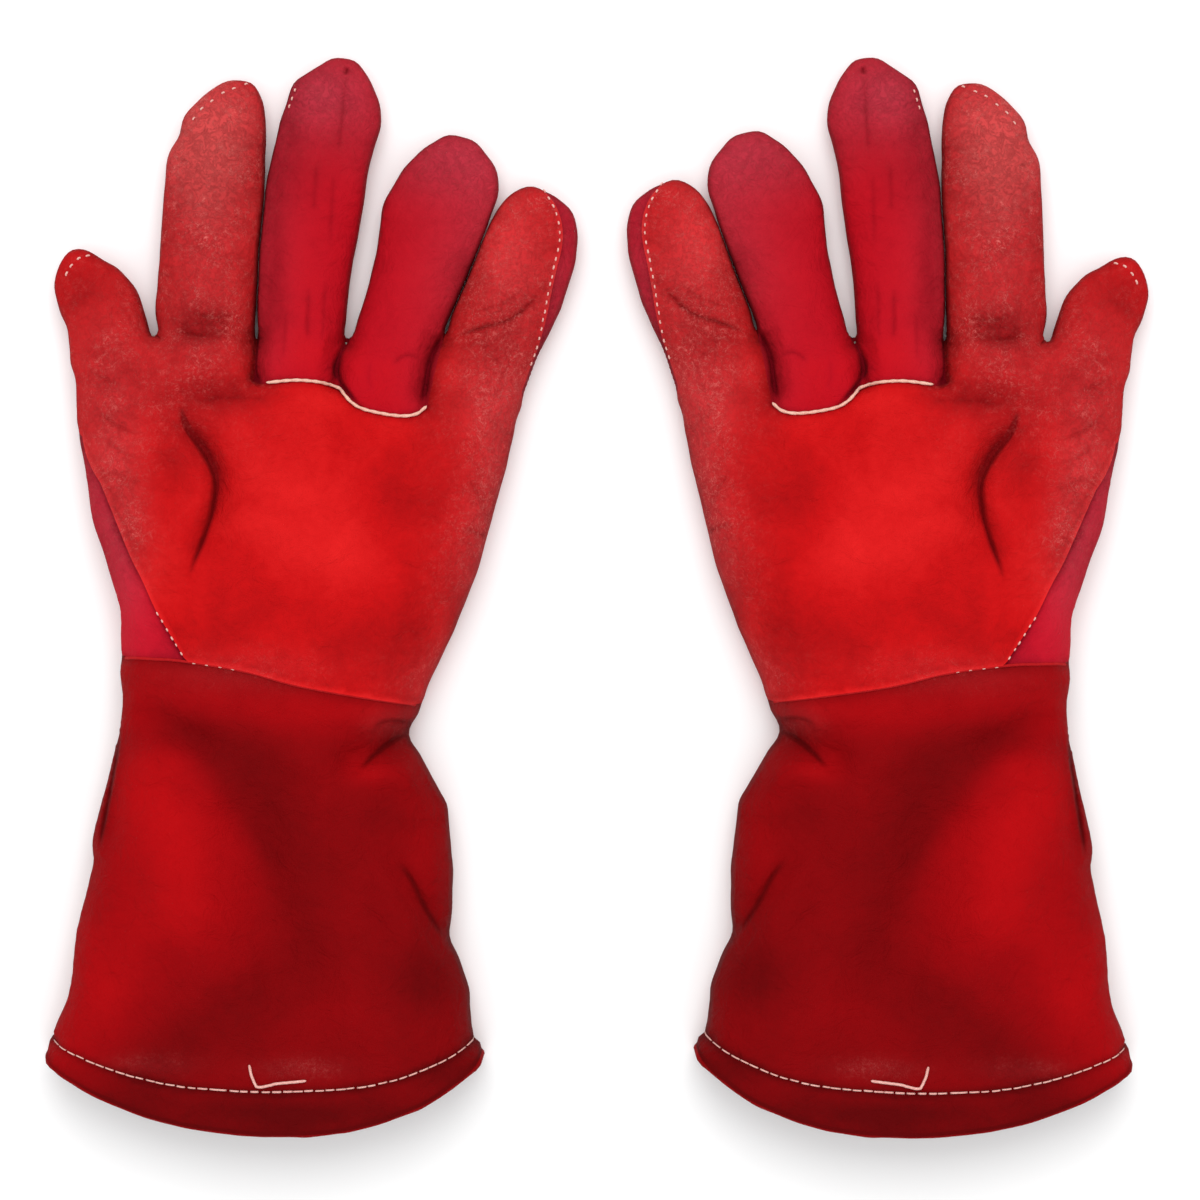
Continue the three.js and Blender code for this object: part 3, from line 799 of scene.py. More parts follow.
class Part:
    """A mesh in the pattern frame, and all that is needed to make it for either glove."""

    def __init__(self, name, points, faces, hide, slot, body, corners=None, nodes=None, tone=None, nap=None,
                 drawn=None):
        self.name, self.points, self.faces = name, np.asarray(points, float), faces
        self.hide, self.slot, self.body = hide, slot, body
        self.corners = corners          # one normal for each corner of each face, or None
        self.nodes = [name] if nodes is None else nodes
        self.drawn = self.points if drawn is None else drawn
        self.tone = np.full(len(self.points), 0.5) if tone is None else tone
        self.nap = np.zeros(len(self.points)) if nap is None else nap

    def build(self, hand):
        faces = self.faces
        corners = self.corners
        if hand.mirror:
            faces = [face[::-1] for face in faces]
            if corners is not None:
                ends = np.cumsum([len(face) for face in faces])
                order = np.concatenate([np.arange(e - 1, e - 1 - len(f), -1) for e, f in zip(ends, faces)])
                corners = corners[order]
        mesh = bpy.data.meshes.new(f"{hand.side}_{self.name}_hide")
        mesh.from_pydata(hand.place(self.points).tolist(), [], faces)
        mesh.shade_smooth()
        if corners is not None:
            mesh.normals_split_custom_set(hand.vectors(corners).tolist())
        for label, values in (("tone", self.tone), ("nap", self.nap)):
            mesh.attributes.new(label, "FLOAT", "POINT").data.foreach_set("value", values)
        drawn = mesh.attributes.new("drawn", "FLOAT_VECTOR", "POINT")
        drawn.data.foreach_set("vector", np.ascontiguousarray(self.drawn).ravel())
        mesh.materials.append(self.hide)
        piece = bpy.data.objects.new(f"{hand.side}_{self.name}_piece", mesh)
        bpy.context.scene.collection.objects.link(piece)
        if self.nodes:
            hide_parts(*(f"{hand.side}_{node}" for node in self.nodes))
        self.attach(piece, hand)
        return piece

    def attach(self, piece, hand):
        if self.body in DIGITS:
            start = np.append(BASE[self.body], SEAM_Z)
            way = np.append(AHEAD[self.body], 0) * FINGER_BEND
            if self.body == "thumb":
                start = np.array([*THUMB_WEB, SEAM_Z])
                line = THUMB_CUT[1] - THUMB_CUT[0]
                way = np.array([-line[1], line[0], 0]) / np.linalg.norm(line) * THUMB_BEND
            ends = hand.place(np.array([start, start + way]))
            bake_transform(piece)
        elif self.body == "wrist":
            start = np.append(WRIST_IN_PATTERN, SEAM_Z)
            way = np.append(-WRIST_AHEAD, 0) * WRIST_BEND
            ends = hand.place(np.array([start, start + way]))
            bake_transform(piece)
        else:
            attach(piece, f"{hand.side}_{self.body}")


def shell(glove, tris, outer, inner, bulge=0.0, bulge_at=None):
    """A closed skin over some of the glove's triangles. Outer and inner are distances out from the
    glove's surface, one for all or one for each point. Edges at the given points are rounded."""
    ids = np.unique(tris)
    index = np.full(len(glove.points), -1)
    index[ids] = np.arange(len(ids))
    local = index[tris]
    points, normals = glove.points[ids], glove.normals[ids]
    outer = np.broadcast_to(outer, len(glove.points))[ids][:, None]
    inner = np.broadcast_to(inner, len(glove.points))[ids][:, None]
    count = len(ids)
    all_points = [points + outer * normals, points + inner * normals]
    faces = local.tolist() + (local[:, ::-1] + count).tolist()
    corners = [normals[local].reshape(-1, 3), -normals[local[:, ::-1]].reshape(-1, 3)]
    drawn = [points, points]
    rim = boundary_edges(local)
    rows = [lambda i: i, lambda i: i + count]
    away = np.zeros_like(points)
    for a, b in rim:
        out = np.cross(points[b] - points[a], normals[a])
        away[a] += out
        away[b] += out
    away /= np.maximum(np.linalg.norm(away, axis=1), 1e-9)[:, None]
    if bulge:
        steps = 5
        edge_ids = np.unique(rim)
        rounded = np.isin(ids[edge_ids], bulge_at)
        middle, half = (outer + inner) / 2, (outer - inner) / 2
        base = 2 * count
        place = {int(e): k for k, e in enumerate(edge_ids)}
        rows = [lambda i: i]
        for s in range(1, steps):
            angle = math.pi * s / steps
            reach = bulge * math.sin(angle) * rounded[:, None]
            ring = points[edge_ids] + (middle + half * math.cos(angle))[edge_ids] * normals[edge_ids]
            all_points.append(ring + reach * away[edge_ids])
            drawn.append(points[edge_ids])
            rows.append(lambda i, start=base: start + place[int(i)])
            base += len(edge_ids)
        rows.append(lambda i: i + count)
    for upper, lower in zip(rows, rows[1:]):
        for a, b in rim:
            faces.append([upper(b), upper(a), lower(a), lower(b)])
            corners.append(np.repeat(((away[a] + away[b]) / 2)[None], 4, 0))
    faces = [[int(i) for i in face] for face in faces]
    return np.vstack(all_points), faces, np.vstack(corners), np.vstack(drawn), ids


def sweep(path, radius, sides=8, twist=0.0, ups=None, closed=False, taper=0):
    """A cord along a path. With a twist it has two strands."""
    path = np.asarray(path, float)
    way = np.gradient(path, axis=0)
    if closed:
        way = np.roll(path, -1, 0) - np.roll(path, 1, 0)
    way /= np.linalg.norm(way, axis=1)[:, None]
    up = np.array([[0, 0, 1.0]]) if ups is None else ups
    side = np.cross(way, up)
    side /= np.linalg.norm(side, axis=1)[:, None]
    up = np.cross(side, way)
    run = np.concatenate([[0], np.cumsum(np.linalg.norm(np.diff(path, axis=0), axis=1))])
    points, faces = [], []
    for k, centre in enumerate(path):
        for j in range(sides):
            angle = 2 * math.pi * j / sides
            strand = 1 + 0.14 * math.cos(2 * angle - twist * run[k]) if twist else 1
            end = min(k, len(path) - 1 - k)
            thin = 1 if not taper or end >= taper else math.sqrt(1 - (1 - (end + 0.15) / taper) ** 2)
            r = radius * strand * thin
            points.append(centre + r * (math.cos(angle) * side[k] + math.sin(angle) * up[k]))
    rings = len(path)
    for k in range(rings if closed else rings - 1):
        for j in range(sides):
            a, b = k * sides + j, k * sides + (j + 1) % sides
            c, d = (k + 1) % rings * sides + j, (k + 1) % rings * sides + (j + 1) % sides
            faces.append([a, b, d, c])
    if not closed:
        faces.append(list(range(sides))[::-1])
        faces.append([(rings - 1) * sides + j for j in range(sides)])
    return np.array(points), faces


def face_normals(points, faces):
    """One flat normal for each corner of each face."""
    normals = []
    for face in faces:
        a, b, c = points[face[0]], points[face[1]], points[face[2]]
        out = np.cross(b - a, c - a)
        normals += [out / max(np.linalg.norm(out), 1e-9)] * len(face)
    return np.array(normals)


def stack(meshes):
    """Several meshes as one."""
    points, faces, start = [], [], 0
    for p, f in meshes:
        points.append(p)
        faces.extend([[i + start for i in face] for face in f])
        start += len(p)
    return np.vstack(points), faces


class Surface:
    """The leather's outer surface, to lay threads on."""

    def __init__(self, glove):
        self.tree = BVHTree.FromPolygons(glove.points.tolist(), glove.tris.tolist())

    def on(self, flat, lift=0.0, from_below=False):
        placed, ups = [], []
        for x, y in flat:
            origin, way = ((x, y, -50), (0, 0, 1)) if from_below else ((x, y, 100), (0, 0, -1))
            hit, normal, _, _ = self.tree.ray_cast(origin, way)
            if hit is None:
                hit, normal, _, _ = self.tree.find_nearest((x, y, SEAM_Z))
            placed.append(np.array(hit) + lift * np.array(normal))
            ups.append(np.array(normal))
        return np.array(placed), np.array(ups)

    def stitches(self, line, pitch, length, radius, lift=0.12, seed=1, thin=0.0):
        """A row of stitches. Towards both ends of the row the thread gets thinner."""
        rng = np.random.default_rng(seed)
        line = curve_through(line, 0.4)
        run = 0.4 * np.arange(len(line))
        made = []
        for start in np.arange(0.4, run[-1] - length, pitch):
            slip = rng.normal(0, 0.12)
            span = length * rng.uniform(0.85, 1.12)
            at = start + slip + np.linspace(0, span, 6)
            flat = np.column_stack([np.interp(at, run, line[:, k]) for k in range(2)])
            flat += rng.normal(0, 0.06, 2)
            path, ups = self.on(flat, lift)
            dive = np.array([-0.55, 0.02, 0.18, 0.18, 0.02, -0.55])[:, None] * radius
            middle = 1 - thin * abs(2 * start / run[-1] - 1)
            made.append(sweep(path + dive * ups, radius * middle * rng.uniform(0.85, 1.1), 6, ups=ups))
        return stack(made)


# ------------------------------------------------------------------ shade and nap over the leather

# Places painted lighter or darker than their leather, as painted light and shade and partly as the
# leather's own patchiness: x, y, half-width, half-height, amount.
SHADE_AND_TONE_PATCHES = [
    (8, 54, 26, 22, 0.2), (-8, 14, 26, 12, -0.02), (36, 66, 20, 16, -0.06), (30, 10, 24, 14, -0.12),
    (4, 28, 20, 8, -0.06), (-20, 92, 16, 7, -0.2), (-46, 98, 14, 14, -0.04), (-60, 118, 10, 16, -0.07),
    (-28, 113, 13, 8, -0.32), (-27, 160, 12, 26, 0.08), (-27, 133, 12, 12, 0.04),
    (66, 106, 12, 8, -0.2), (70, 140, 10, 14, 0.16), (46, 92, 6, 12, -0.22), (-20, 92, 20, 5, -0.08),
    (-34, 80, 8, 10, -0.1), (6, 106, 12, 13, 0.14), (28, 96, 12, 12, 0.08), (36, 118, 12, 12, -0.06),
    (56, 132, 5, 18, -0.12), (8, 160, 16, 34, -0.06), (-36, 46, 6, 16, 0.1), (-54, 66, 9, 20, 0.12),
    (0, -12, 30, 7, 0.26), (32, -11, 10, 5, 0.1), (-44, -34, 12, 14, 0.22), (-32, -56, 12, 18, 0.26),
    (-38, -76, 16, 9, 0.16), (-56, -100, 14, 18, 0.16), (-62, -48, 6, 16, -0.1), (38, -17, 9, 5, -0.2),
    (27, -29, 9, 5, 0.3), (44, -52, 9, 16, 0.1), (44, -98, 12, 14, -0.2), (-72, -120, 8, 6, 0.1),
    (2, -139, 30, 6, -0.3), (-40, -18, 16, 5, -0.14), (-50, 24, 8, 18, 0.2), (-4, 150, 4, 30, -0.2),
    (1, 178, 4, 18, -0.16), (-5, 122, 4, 20, -0.14), (66, 40, 8, 34, 0.12), (72, 72, 7, 22, 0.1),
    (-70, 129, 9, 9, -0.16), (-20, 40, 14, 22, -0.1), (-26, 182, 14, 16, 0.02), (40, 56, 16, 8, -0.12),
    (24, 66, 14, 6, -0.06), (-6, 70, 14, 8, 0.06), (48, 24, 10, 14, -0.1), (8, 90, 16, 4, 0.08),
    (-2, 62, 8, 5, 0.06), (16, 38, 9, 6, 0.08), (50, -126, 12, 6, -0.16), (30, -42, 10, 8, -0.1),
    (-38, 70, 9, 12, -0.12),
]

# Places where the leather is napped: x, y, half-width, half-height, amount.
NAPS = [
    (72, 60, 13, 34, 0.95), (62, 24, 12, 30, 0.85), (48, -2, 14, 12, 0.6), (-58, 74, 11, 28, 0.75),
    (-52, 46, 8, 20, 0.6), (-62, 112, 16, 24, 0.5), (-42, 94, 14, 14, 0.2), (-27, 155, 22, 55, 1.0),
    (-27, 112, 14, 14, 0.3), (72, 130, 24, 42, 0.9), (60, 92, 14, 14, 0.3), (-12, 4, 26, 6, 0.3),
    (-27, 178, 20, 24, 0.75), (12, 190, 20, 15, 1.0), (50, 170, 22, 14, 0.8), (-42, -123, 12, 3, 0.5),
    (5, -124, 14, 3, 0.4), (8, -138, 12, 4, 0.6), (34, -15, 7, 4, 0.5),
]

# The cuff is lit above and to the left of this line, and in shade beyond it.
CUFF_SHADE = [(-62, 2), (-44, -12), (-28, -28), (-13, -52), (-8, -74), (-14, -88), (-30, -98), (-46, -108),
              (-60, -122), (-80, -150)]


def shade(points, rim_gap):
    """How light each point's leather is painted, around 0.5: painted light and shade, with some of the
    leather's own patchiness.
    """
    flat = points[:, :2]
    tone = 0.5 + blobs(flat, SHADE_AND_TONE_PATCHES)
    # painted light over the cuff's lit side, and painted shade beyond the CUFF_SHADE line
    gap, _, side = distance_to(flat, curve_through(CUFF_SHADE, 2))
    crisp = 5 + 9 * smooth(-50, -90, flat[:, 1])
    beyond = smooth(-crisp, crisp, gap * side)
    cuff = smooth(-4, -16, flat[:, 1])
    tone += cuff * (0.02 - beyond * (0.2 + 0.14 * np.exp(-((gap - 14) / 14) ** 2)))
    # the palm dives under the thumb: painted shadow above, and a thin painted shadow line further down
    gap, share, side = distance_to(flat, curve_through(THUMB_CREASE, 1.0))
    along = smooth(0, 0.12, share) * smooth(0, 0.2, 1 - share)
    upper = smooth(0, 0.3, share) * smooth(0.72, 0.3, share)
    tone -= np.where(side > 0, 0.6 * upper * np.exp(-(gap / 4) ** 2), 0.1 * along * np.exp(-(gap / 4) ** 2))
    tone -= along * 0.6 * np.exp(-(gap / 0.75) ** 2)
    # painted shade in the narrow creases
    for line, depth in CREASES:
        tone += 0.3 * fold(flat, line, -depth, 0.7, 0.25) + 0.08 * fold(flat, line, -depth, 2.6, 0.25)
    # leather that turns down at the outline gets painted shade
    return tone - 0.3 * np.exp(-(rim_gap / 0.9) ** 2)


def blobs(points, table):
    total = np.zeros(len(points))
    for x, y, rx, ry, amount in table:
        away = ((points[:, 0] - x) / rx) ** 2 + ((points[:, 1] - y) / ry) ** 2
        total += amount * np.exp(-away)
    return total


# ------------------------------------------------------------------ the pieces of one glove

def lowest_near(glove, coarse, radius=3.4):
    """The lowest that the palm side gets near each point of the coarse pattern, away from the rim."""
    flat, count = glove.pattern.points, len(glove.pattern.points)
    height = glove.points[:count, 2]
    low = np.full(len(coarse.points), 1e9)
    for i in np.unique(coarse.tris):
        near = np.abs(flat - coarse.points[i]).max(1) < radius
        away = np.linalg.norm(flat[near] - coarse.points[i], axis=1)
        gap = glove.rim_gap[near]
        usable = (away < radius) & (gap > 4)
        if usable.any():
            low[i] = height[near][usable].min()
    return low


class LiningSurface:
    """The coarse pattern laid on the glove's surface, to make the linings from."""

    def __init__(self, glove, coarse):
        flat, used = glove.pattern.points, glove.pattern.tris
        tree = BVHTree.FromPolygons([(x, y, 0) for x, y in flat], used.tolist())
        count = len(coarse.points)
        self.points = np.zeros((2 * count, 3))
        self.normals = np.zeros((2 * count, 3))
        for i in np.unique(coarse.tris):
            x, y = coarse.points[i]
            _, _, t, _ = tree.find_nearest((x, y, 0))
            corners = used[t]
            a, b, c = flat[corners]
            share = np.linalg.solve(np.array([[*a, 1], [*b, 1], [*c, 1]]).T, (x, y, 1)).clip(0, 1)
            share /= share.sum()
            for offset, ids in ((0, corners), (count, glove.back_of[corners])):
                self.points[i + offset] = share @ glove.points[ids]
                normal = share @ glove.normals[ids]
                self.normals[i + offset] = normal / np.linalg.norm(normal)
        # under a crease of the leather the lining is lower too
        self.points[:count, 2] = np.minimum(self.points[:count, 2], lowest_near(glove, coarse))
        rim = np.unique(coarse.boundary)
        sealed = rim[coarse.points[rim, 1] > MOUTH_Y]
        back_of = np.arange(count) + count
        back_of[sealed] = sealed
        self.front, self.back = coarse.tris, back_of[coarse.tris][:, ::-1]


def leather_parts(glove, hides):
    pattern = glove.pattern
    front, back = pattern.front_names, pattern.back_names
    flat3 = glove.points
    tone = shade(flat3, np.tile(glove.rim_gap, 2))
    nap = np.clip(blobs(flat3, NAPS), 0, 2)
    count = len(pattern.points)
    tone[count:] = 0.5
    nap[count:] = 0.25

    # seams pull the leather in
    seam_lines = [THUMB_SEAM_UPPER, THUMB_SEAM_LOWER, LITTLE_SEAM, WRIST_SEAM, MIDDLE_BASE, RING_BASE,
                  HEM_LINE]
    gaps = [distance_to(pattern.points, curve_through(line, 1.5))[0] for line in seam_lines]
    lapped = np.min(gaps[:4], axis=0)
    sink = np.zeros(2 * count)
    sink[:count] = -SEAM_SINK * np.exp(-(np.min(gaps[4:], axis=0) / 1.3) ** 2)
    sink[:count] -= LAP_SINK * np.exp(-(lapped / 2.2) ** 2)
    back_gaps = [gaps[3], gaps[6]]
    sink[count:] = -BACK_SINK * np.exp(-(np.min(back_gaps, axis=0) / 1.3) ** 2)
    # painted shade in the seams' grooves, and a thin painted shadow line along the thumb seams
    tone += np.clip(sink, -1, 0) * 0.35
    tone[:count] -= 0.3 * np.exp(-(np.min(gaps[:2], axis=0) / 1.1) ** 2)
    lip = np.zeros(2 * count)
    lip[:count] = LIP * np.exp(-(lapped / 2.0) ** 2) * smooth(0, 4, glove.rim_gap)
    # the raised edge of a lapped panel gets a painted highlight, which near the thumb seams also lifts the
    # painted shadow line off it
    wear_and_lip_highlight = np.zeros(2 * count)
    wear_and_lip_highlight[:count] = 0.42 * np.exp(-lapped ** 2) + 0.3 * np.exp(-(np.min(gaps[:2], axis=0) / 1.1) ** 2)

    parts = []

    def leather(name, tris, hide, slot, body, nodes=None):
        over = name in ("palm_panel", "thumb_front", "little_front")
        height = sink + lip if over else sink
        points, faces, corners, drawn, ids = shell(glove, tris, height, height - LEATHER)
        light = tone + wear_and_lip_highlight if over else tone
        both = np.concatenate([light[ids], light[ids]])
        naps = np.concatenate([nap[ids], nap[ids]])
        parts.append(Part(name, points, faces, hide, slot, body, corners, nodes, both, naps, drawn))

    fronts = {"hand": ("palm_panel", "palm_hide"), "index": ("index_front", "napped_hide"),
              "middle": ("middle_front", "smooth_hide"), "ring": ("ring_front", "smooth_hide"),
              "little": ("little_front", "napped_hide"), "thumb": ("thumb_front", "napped_hide")}
    for region, (name, slot) in fronts.items():
        # the palm, thumb, index and little finger are one hide, which is napped in places
        look = "smooth_hide" if slot == "smooth_hide" else "palm_hide"
        leather(name, glove.front_tris[front == region], hides[look], slot, region)
    for region in ("hand", *DIGITS):
        tris = glove.back_tris[back == region]
        strip = front == f"{region}_strip"
        if strip.any():
            tris = np.vstack([tris, glove.front_tris[strip]])
        name = "back_panel" if region == "hand" else f"{region}_back"
        leather(name, tris, hides["back_hide"], "back_hide", region)
    for digit in ("index", "middle", "ring", "little"):
        points, faces = web_walls(glove, digit)
        parts.append(Part(f"{digit}_walls", points, faces, hides["back_hide"], "back_hide", digit,
                          face_normals(points, faces), nodes=[]))
    leather("cuff_front", glove.front_tris[front == "cuff"], hides["cuff_hide"], "cuff_hide", "wrist")
    leather("cuff_back", glove.back_tris[back == "cuff"], hides["cuff_hide"], "cuff_hide", "wrist")

    # the turned hem: thicker, rounded over at its edge
    tris = np.vstack([glove.front_tris[front == "hem"], glove.back_tris[back == "hem"]])
    gap = distance_to(flat3[:, :2], curve_through(HEM_LINE, 1.5))[0]
    proud = HEM_PROUD * smooth(0, 3.5, gap) - 0.5 * (1 - smooth(0, 1.6, gap))
    proud[count:] = np.minimum(proud[count:], 0.1)
    edge = np.unique(boundary_edges(glove.tris))
    points, faces, corners, drawn, ids = shell(glove, tris, proud, HEM_INSIDE, HEM_ROUND, edge)
    line_gap = distance_to(points[:, :2], curve_through(HEM_LINE, 1.5))[0]
    points = round_off(points, faces, HEM_CORNERS, smooth(0.3, 3, line_gap))
    tones = tone - 0.08
    extra = len(points) - 2 * len(ids)
    hem_tone = np.concatenate([tones[ids], tones[ids], np.full(extra, 0.4)])
    parts.append(Part("hem", points, faces, hides["cuff_hide"], "cuff_hide", "cuff", None, None, hem_tone,
                      None, drawn))
    return parts


def round_off(points, faces, corners, free):
    """Smooths a mesh near a few places, as far as each point is free to move."""
    radius, steps = 5, [0.6, -0.62] * 14
    a = np.concatenate(faces)
    b = np.concatenate([np.roll(face, -1) for face in faces])
    degree = np.bincount(a, minlength=len(points))
    gaps = [np.linalg.norm(points[:, :2] - corner, axis=1) for corner in corners]
    near = sum(np.exp(-(gap / radius) ** 2) for gap in gaps)
    share = (free * np.clip(1.4 * near, 0, 1))[:, None]
    for step in steps:
        mean = np.stack([np.bincount(a, points[b, k], len(points)) for k in range(3)], 1) / degree[:, None]
        points = points + step * share * (mean - points)
    return points


def web_side(web, digit):
    """The unit direction from a web line into a finger beside it."""
    top, bottom = np.array(WEBS[web])
    way = (bottom - top) / np.linalg.norm(bottom - top)
    across = np.array([-way[1], way[0]])
    return across * np.sign((SEEDS[digit] - top) @ across)


def web_walls(glove, digit):
    """The leather walls inside a finger's root, down the lines where it parts from its neighbours."""
    flat = glove.pattern.points
    front_z, back_z = glove.points[:len(flat), 2], glove.points[len(flat):, 2]
    meshes = []
    for web in (w for w, digits in WEB_NEIGHBOURS.items() if digit in digits):
        across = np.append(web_side(web, digit), 0)
        ids = sorted({i for edge in glove.pattern.edges[web] for i in edge}, key=lambda i: -flat[i][1])
        middle, half = np.zeros((len(ids), 3)), np.zeros((len(ids), 3))
        # a wall reaches from the back to the front, and stays under the folds beside it
        for k, i in enumerate(ids):
            beside = np.linalg.norm(flat - flat[i], axis=1) < WALL_CLEAR
            high = front_z[beside].min() - WALL_UNDER
            low = min(high, back_z[beside].max() + WALL_UNDER)
            middle[k] = (*flat[i], (high + low) / 2)
            half[k, 2] = max((high - low) / 2 - LEATHER / 2, 0.05)
        near, far = WALL_GAP * across, (WALL_GAP + WALL) * across
        rows = [middle + half + near, middle + half + far, middle - half + far, middle - half + near]
        count = len(ids)
        faces = []
        for k in range(4):
            a, b = k * count, (k + 1) % 4 * count
            faces += [[a + i, a + i + 1, b + i + 1, b + i] for i in range(count - 1)]
        faces.append([k * count for k in range(4)])
        faces.append([k * count + count - 1 for k in range(3, -1, -1)])
        if across[0] < 0:
            faces = [face[::-1] for face in faces]
        meshes.append((np.vstack(rows), faces))
    return stack(meshes)


def clear_of_walls(points, region):
    """Moves a lining in from the walls of the fingers' roots: a finger's sideways, the hand's down."""
    for web, digits in WEB_NEIGHBOURS.items():
        top, bottom = np.array(WEBS[web], float)
        down = (bottom - top) / np.linalg.norm(bottom - top)
        beyond = np.array([top - PAST_TOP * down, bottom + PAST_BOTTOM * down])
        way = web_side(web, region) if region in digits else down
        if region in digits or region == "hand":
            gap, _, _ = distance_to(points[:, :2], beyond)
            push = np.maximum(0, WALL_CLEAR - gap)
            points[:, :2] += push[:, None] * way
    return points


def lining_parts(glove, coarse, hides):
    surface = LiningSurface(glove, coarse)
    parts = []
    outer = -(LEATHER + LINING_GAP)
    for region in ("hand", *DIGITS, "cuff"):
        chosen = coarse.back_names == region
        tris = np.vstack([surface.front[chosen], surface.back[chosen]])
        points, faces, corners, drawn, _ = shell(surface, tris, outer, outer - LINING)
        points = clear_of_walls(points, region)
        slot = "canvas_lining" if region == "cuff" else "cotton_lining"
        body = "wrist" if region == "cuff" else region
        parts.append(Part(f"{region}_lining", points, faces, hides[slot], slot, body, corners, drawn=drawn))
    return parts


def trim_parts(glove, hides):
    """Welt, piping and threads."""
    surface = Surface(glove)
    parts = []

    def thread(name, mesh, body, nodes=()):
        parts.append(Part(name, *mesh, hides["sewing_thread"], "sewing_thread", body, nodes=list(nodes)))

    # wrist welt, all round
    seam = curve_through(WRIST_SEAM, 1.5)[1:-1]
    over, up_over = surface.on(seam, -0.35)
    under, up_under = surface.on(seam[::-1], -0.5, from_below=True)
    path, ups = np.vstack([over, under]), np.vstack([up_over, up_under])
    welt = sweep(path, 0.5, 8, ups=ups, closed=True)
    parts.append(Part("wrist_welt", *welt, hides["welt_hide"], "welt_hide", "hand"))

    # piping at the roots of the middle and ring fingers
    roots = [curve_through(MIDDLE_BASE[1:], 0.5), curve_through(RING_BASE, 0.5)[1:]]
    route = resample(np.vstack(roots), 0.45)
    route = relax(route, 4, closed=False)
    path, ups = surface.on(route, 0.15)
    path = relax(path, 3, closed=False)
    piping = sweep(path, 0.5, 10, twist=1.9, ups=ups, taper=3)
    parts.append(Part("finger_base_piping", *piping, hides["pale_piping"], "pale_piping", "hand"))

    # stitches
    hem = surface.stitches(HEM_LINE, 3.4, 2.75, 0.34, lift=-0.26, seed=3, thin=0.35)
    tail = [(-12, -122.8), (-11.4, -126), (-9.8, -129.8), (-8, -130), (-3.6, -128.9), (6.2, -128.1)]
    path, ups = surface.on(relax(resample(tail, 0.5), 3, closed=False), 0.75)
    loose = sweep(path, 0.46, 7, ups=ups, taper=2)
    thread("hem_thread", stack([hem, loose]), "cuff", ["hem_thread"])
    little = [(x - 0.9, y) for x, y in LITTLE_SEAM[:-1]]
    thread("little_stitches", surface.stitches(little, 2.9, 0.9, 0.3, 0.3, seed=5), "little")
    lower = curve_through(THUMB_SEAM_LOWER, 1.0)
    thread("thumb_seam_stitches", surface.stitches(lower[-20:], 3.0, 0.9, 0.28, 0.35, seed=7), "hand")
    index_tip = [(-13.9, 193.4), (-20, 190.8), (-24.6, 188), (-29.2, 184), (-32.8, 179.4)]
    thread("index_stitches", surface.stitches(index_tip, 4.1, 0.9, 0.3, seed=9), "index")
    middle_tip = [(1.6, 191.6), (0.4, 188), (-1, 184)]
    thread("middle_stitches", surface.stitches(middle_tip, 2.6, 0.9, 0.28, seed=15), "middle")
    thumb_tip = [(-65, 137.6), (-68.6, 136.4), (-71.6, 133.2), (-73.6, 128.4)]
    thread("thumb_stitches", surface.stitches(thumb_tip, 3.1, 1.1, 0.36, seed=11), "thumb")
    wrist_left = [(-31, 5.6), (-24, 4.7), (-15, 3)]
    thread("wrist_stitches", surface.stitches(wrist_left, 4.4, 0.9, 0.22, 0.0, seed=13), "hand")
    return parts


# ------------------------------------------------------------------ materials

def linear(red, green, blue):
    """A colour given as the 0 to 255 numbers of a screen, as light."""
    def one(value):
        value /= 255
        return value / 12.92 if value <= 0.04045 else ((value + 0.055) / 1.055) ** 2.4
    return (one(red), one(green), one(blue), 1)


class Shader:
    """A material's nodes, added one at a time."""

    def __init__(self, name, rough, sheen=0.0, sheen_tint=(1, 1, 1, 1), sheen_rough=0.5, specular=0.5):
        self.material = bpy.data.materials.new(name)
        self.material.use_nodes = True
        self.tree = self.material.node_tree
        self.surface = self.tree.nodes["Principled BSDF"]
        self.surface.inputs["Roughness"].default_value = rough
        self.surface.inputs["Sheen Weight"].default_value = sheen
        self.surface.inputs["Sheen Tint"].default_value = sheen_tint
        self.surface.inputs["Sheen Roughness"].default_value = sheen_rough
        self.surface.inputs["Specular IOR Level"].default_value = specular

    def add(self, kind, inputs=(), **settings):
        node = self.tree.nodes.new(kind)
        for name, value in settings.items():
            setattr(node, name, value)
        for name, value in dict(inputs).items():
            socket = node.inputs[name]
            if isinstance(value, bpy.types.NodeSocket):
                self.tree.links.new(value, socket)
            else:
                socket.default_value = value
        return node

    def attribute(self, name):
        node = self.add("ShaderNodeAttribute", attribute_name=name)
        return node.outputs["Vector"] if name == "drawn" else node.outputs["Fac"]

    def noise(self, vector, scale, detail=3.0, rough=0.55, distortion=0.0):
        inputs = {"Vector": vector, "Scale": scale, "Detail": detail, "Roughness": rough,
                  "Distortion": distortion}
        return self.add("ShaderNodeTexNoise", inputs).outputs["Fac"]

    def ramp(self, value, low, high, to_low=0.0, to_high=1.0):
        inputs = {"Value": value, "From Min": low, "From Max": high, "To Min": to_low, "To Max": to_high}
        return self.add("ShaderNodeMapRange", inputs, clamp=True).outputs["Result"]

    def math(self, operation, a, b):
        return self.add("ShaderNodeMath", {0: a, 1: b}, operation=operation).outputs[0]

    def mix(self, share, a, b, blend="MIX"):
        node = self.add("ShaderNodeMix", {0: share, 6: a, 7: b}, data_type="RGBA", blend_type=blend)
        return node.outputs[2]

    def bump(self, height, distance, strength=1.0, under=None):
        inputs = {"Height": height, "Distance": distance, "Strength": strength}
        if under is not None:
            inputs["Normal"] = under
        return self.add("ShaderNodeBump", inputs).outputs["Normal"]

    def finish(self, colour, normal, roughness=None):
        self.tree.links.new(colour, self.surface.inputs["Base Color"])
        self.tree.links.new(normal, self.surface.inputs["Normal"])
        if roughness is not None:
            self.tree.links.new(roughness, self.surface.inputs["Roughness"])
        return self.material


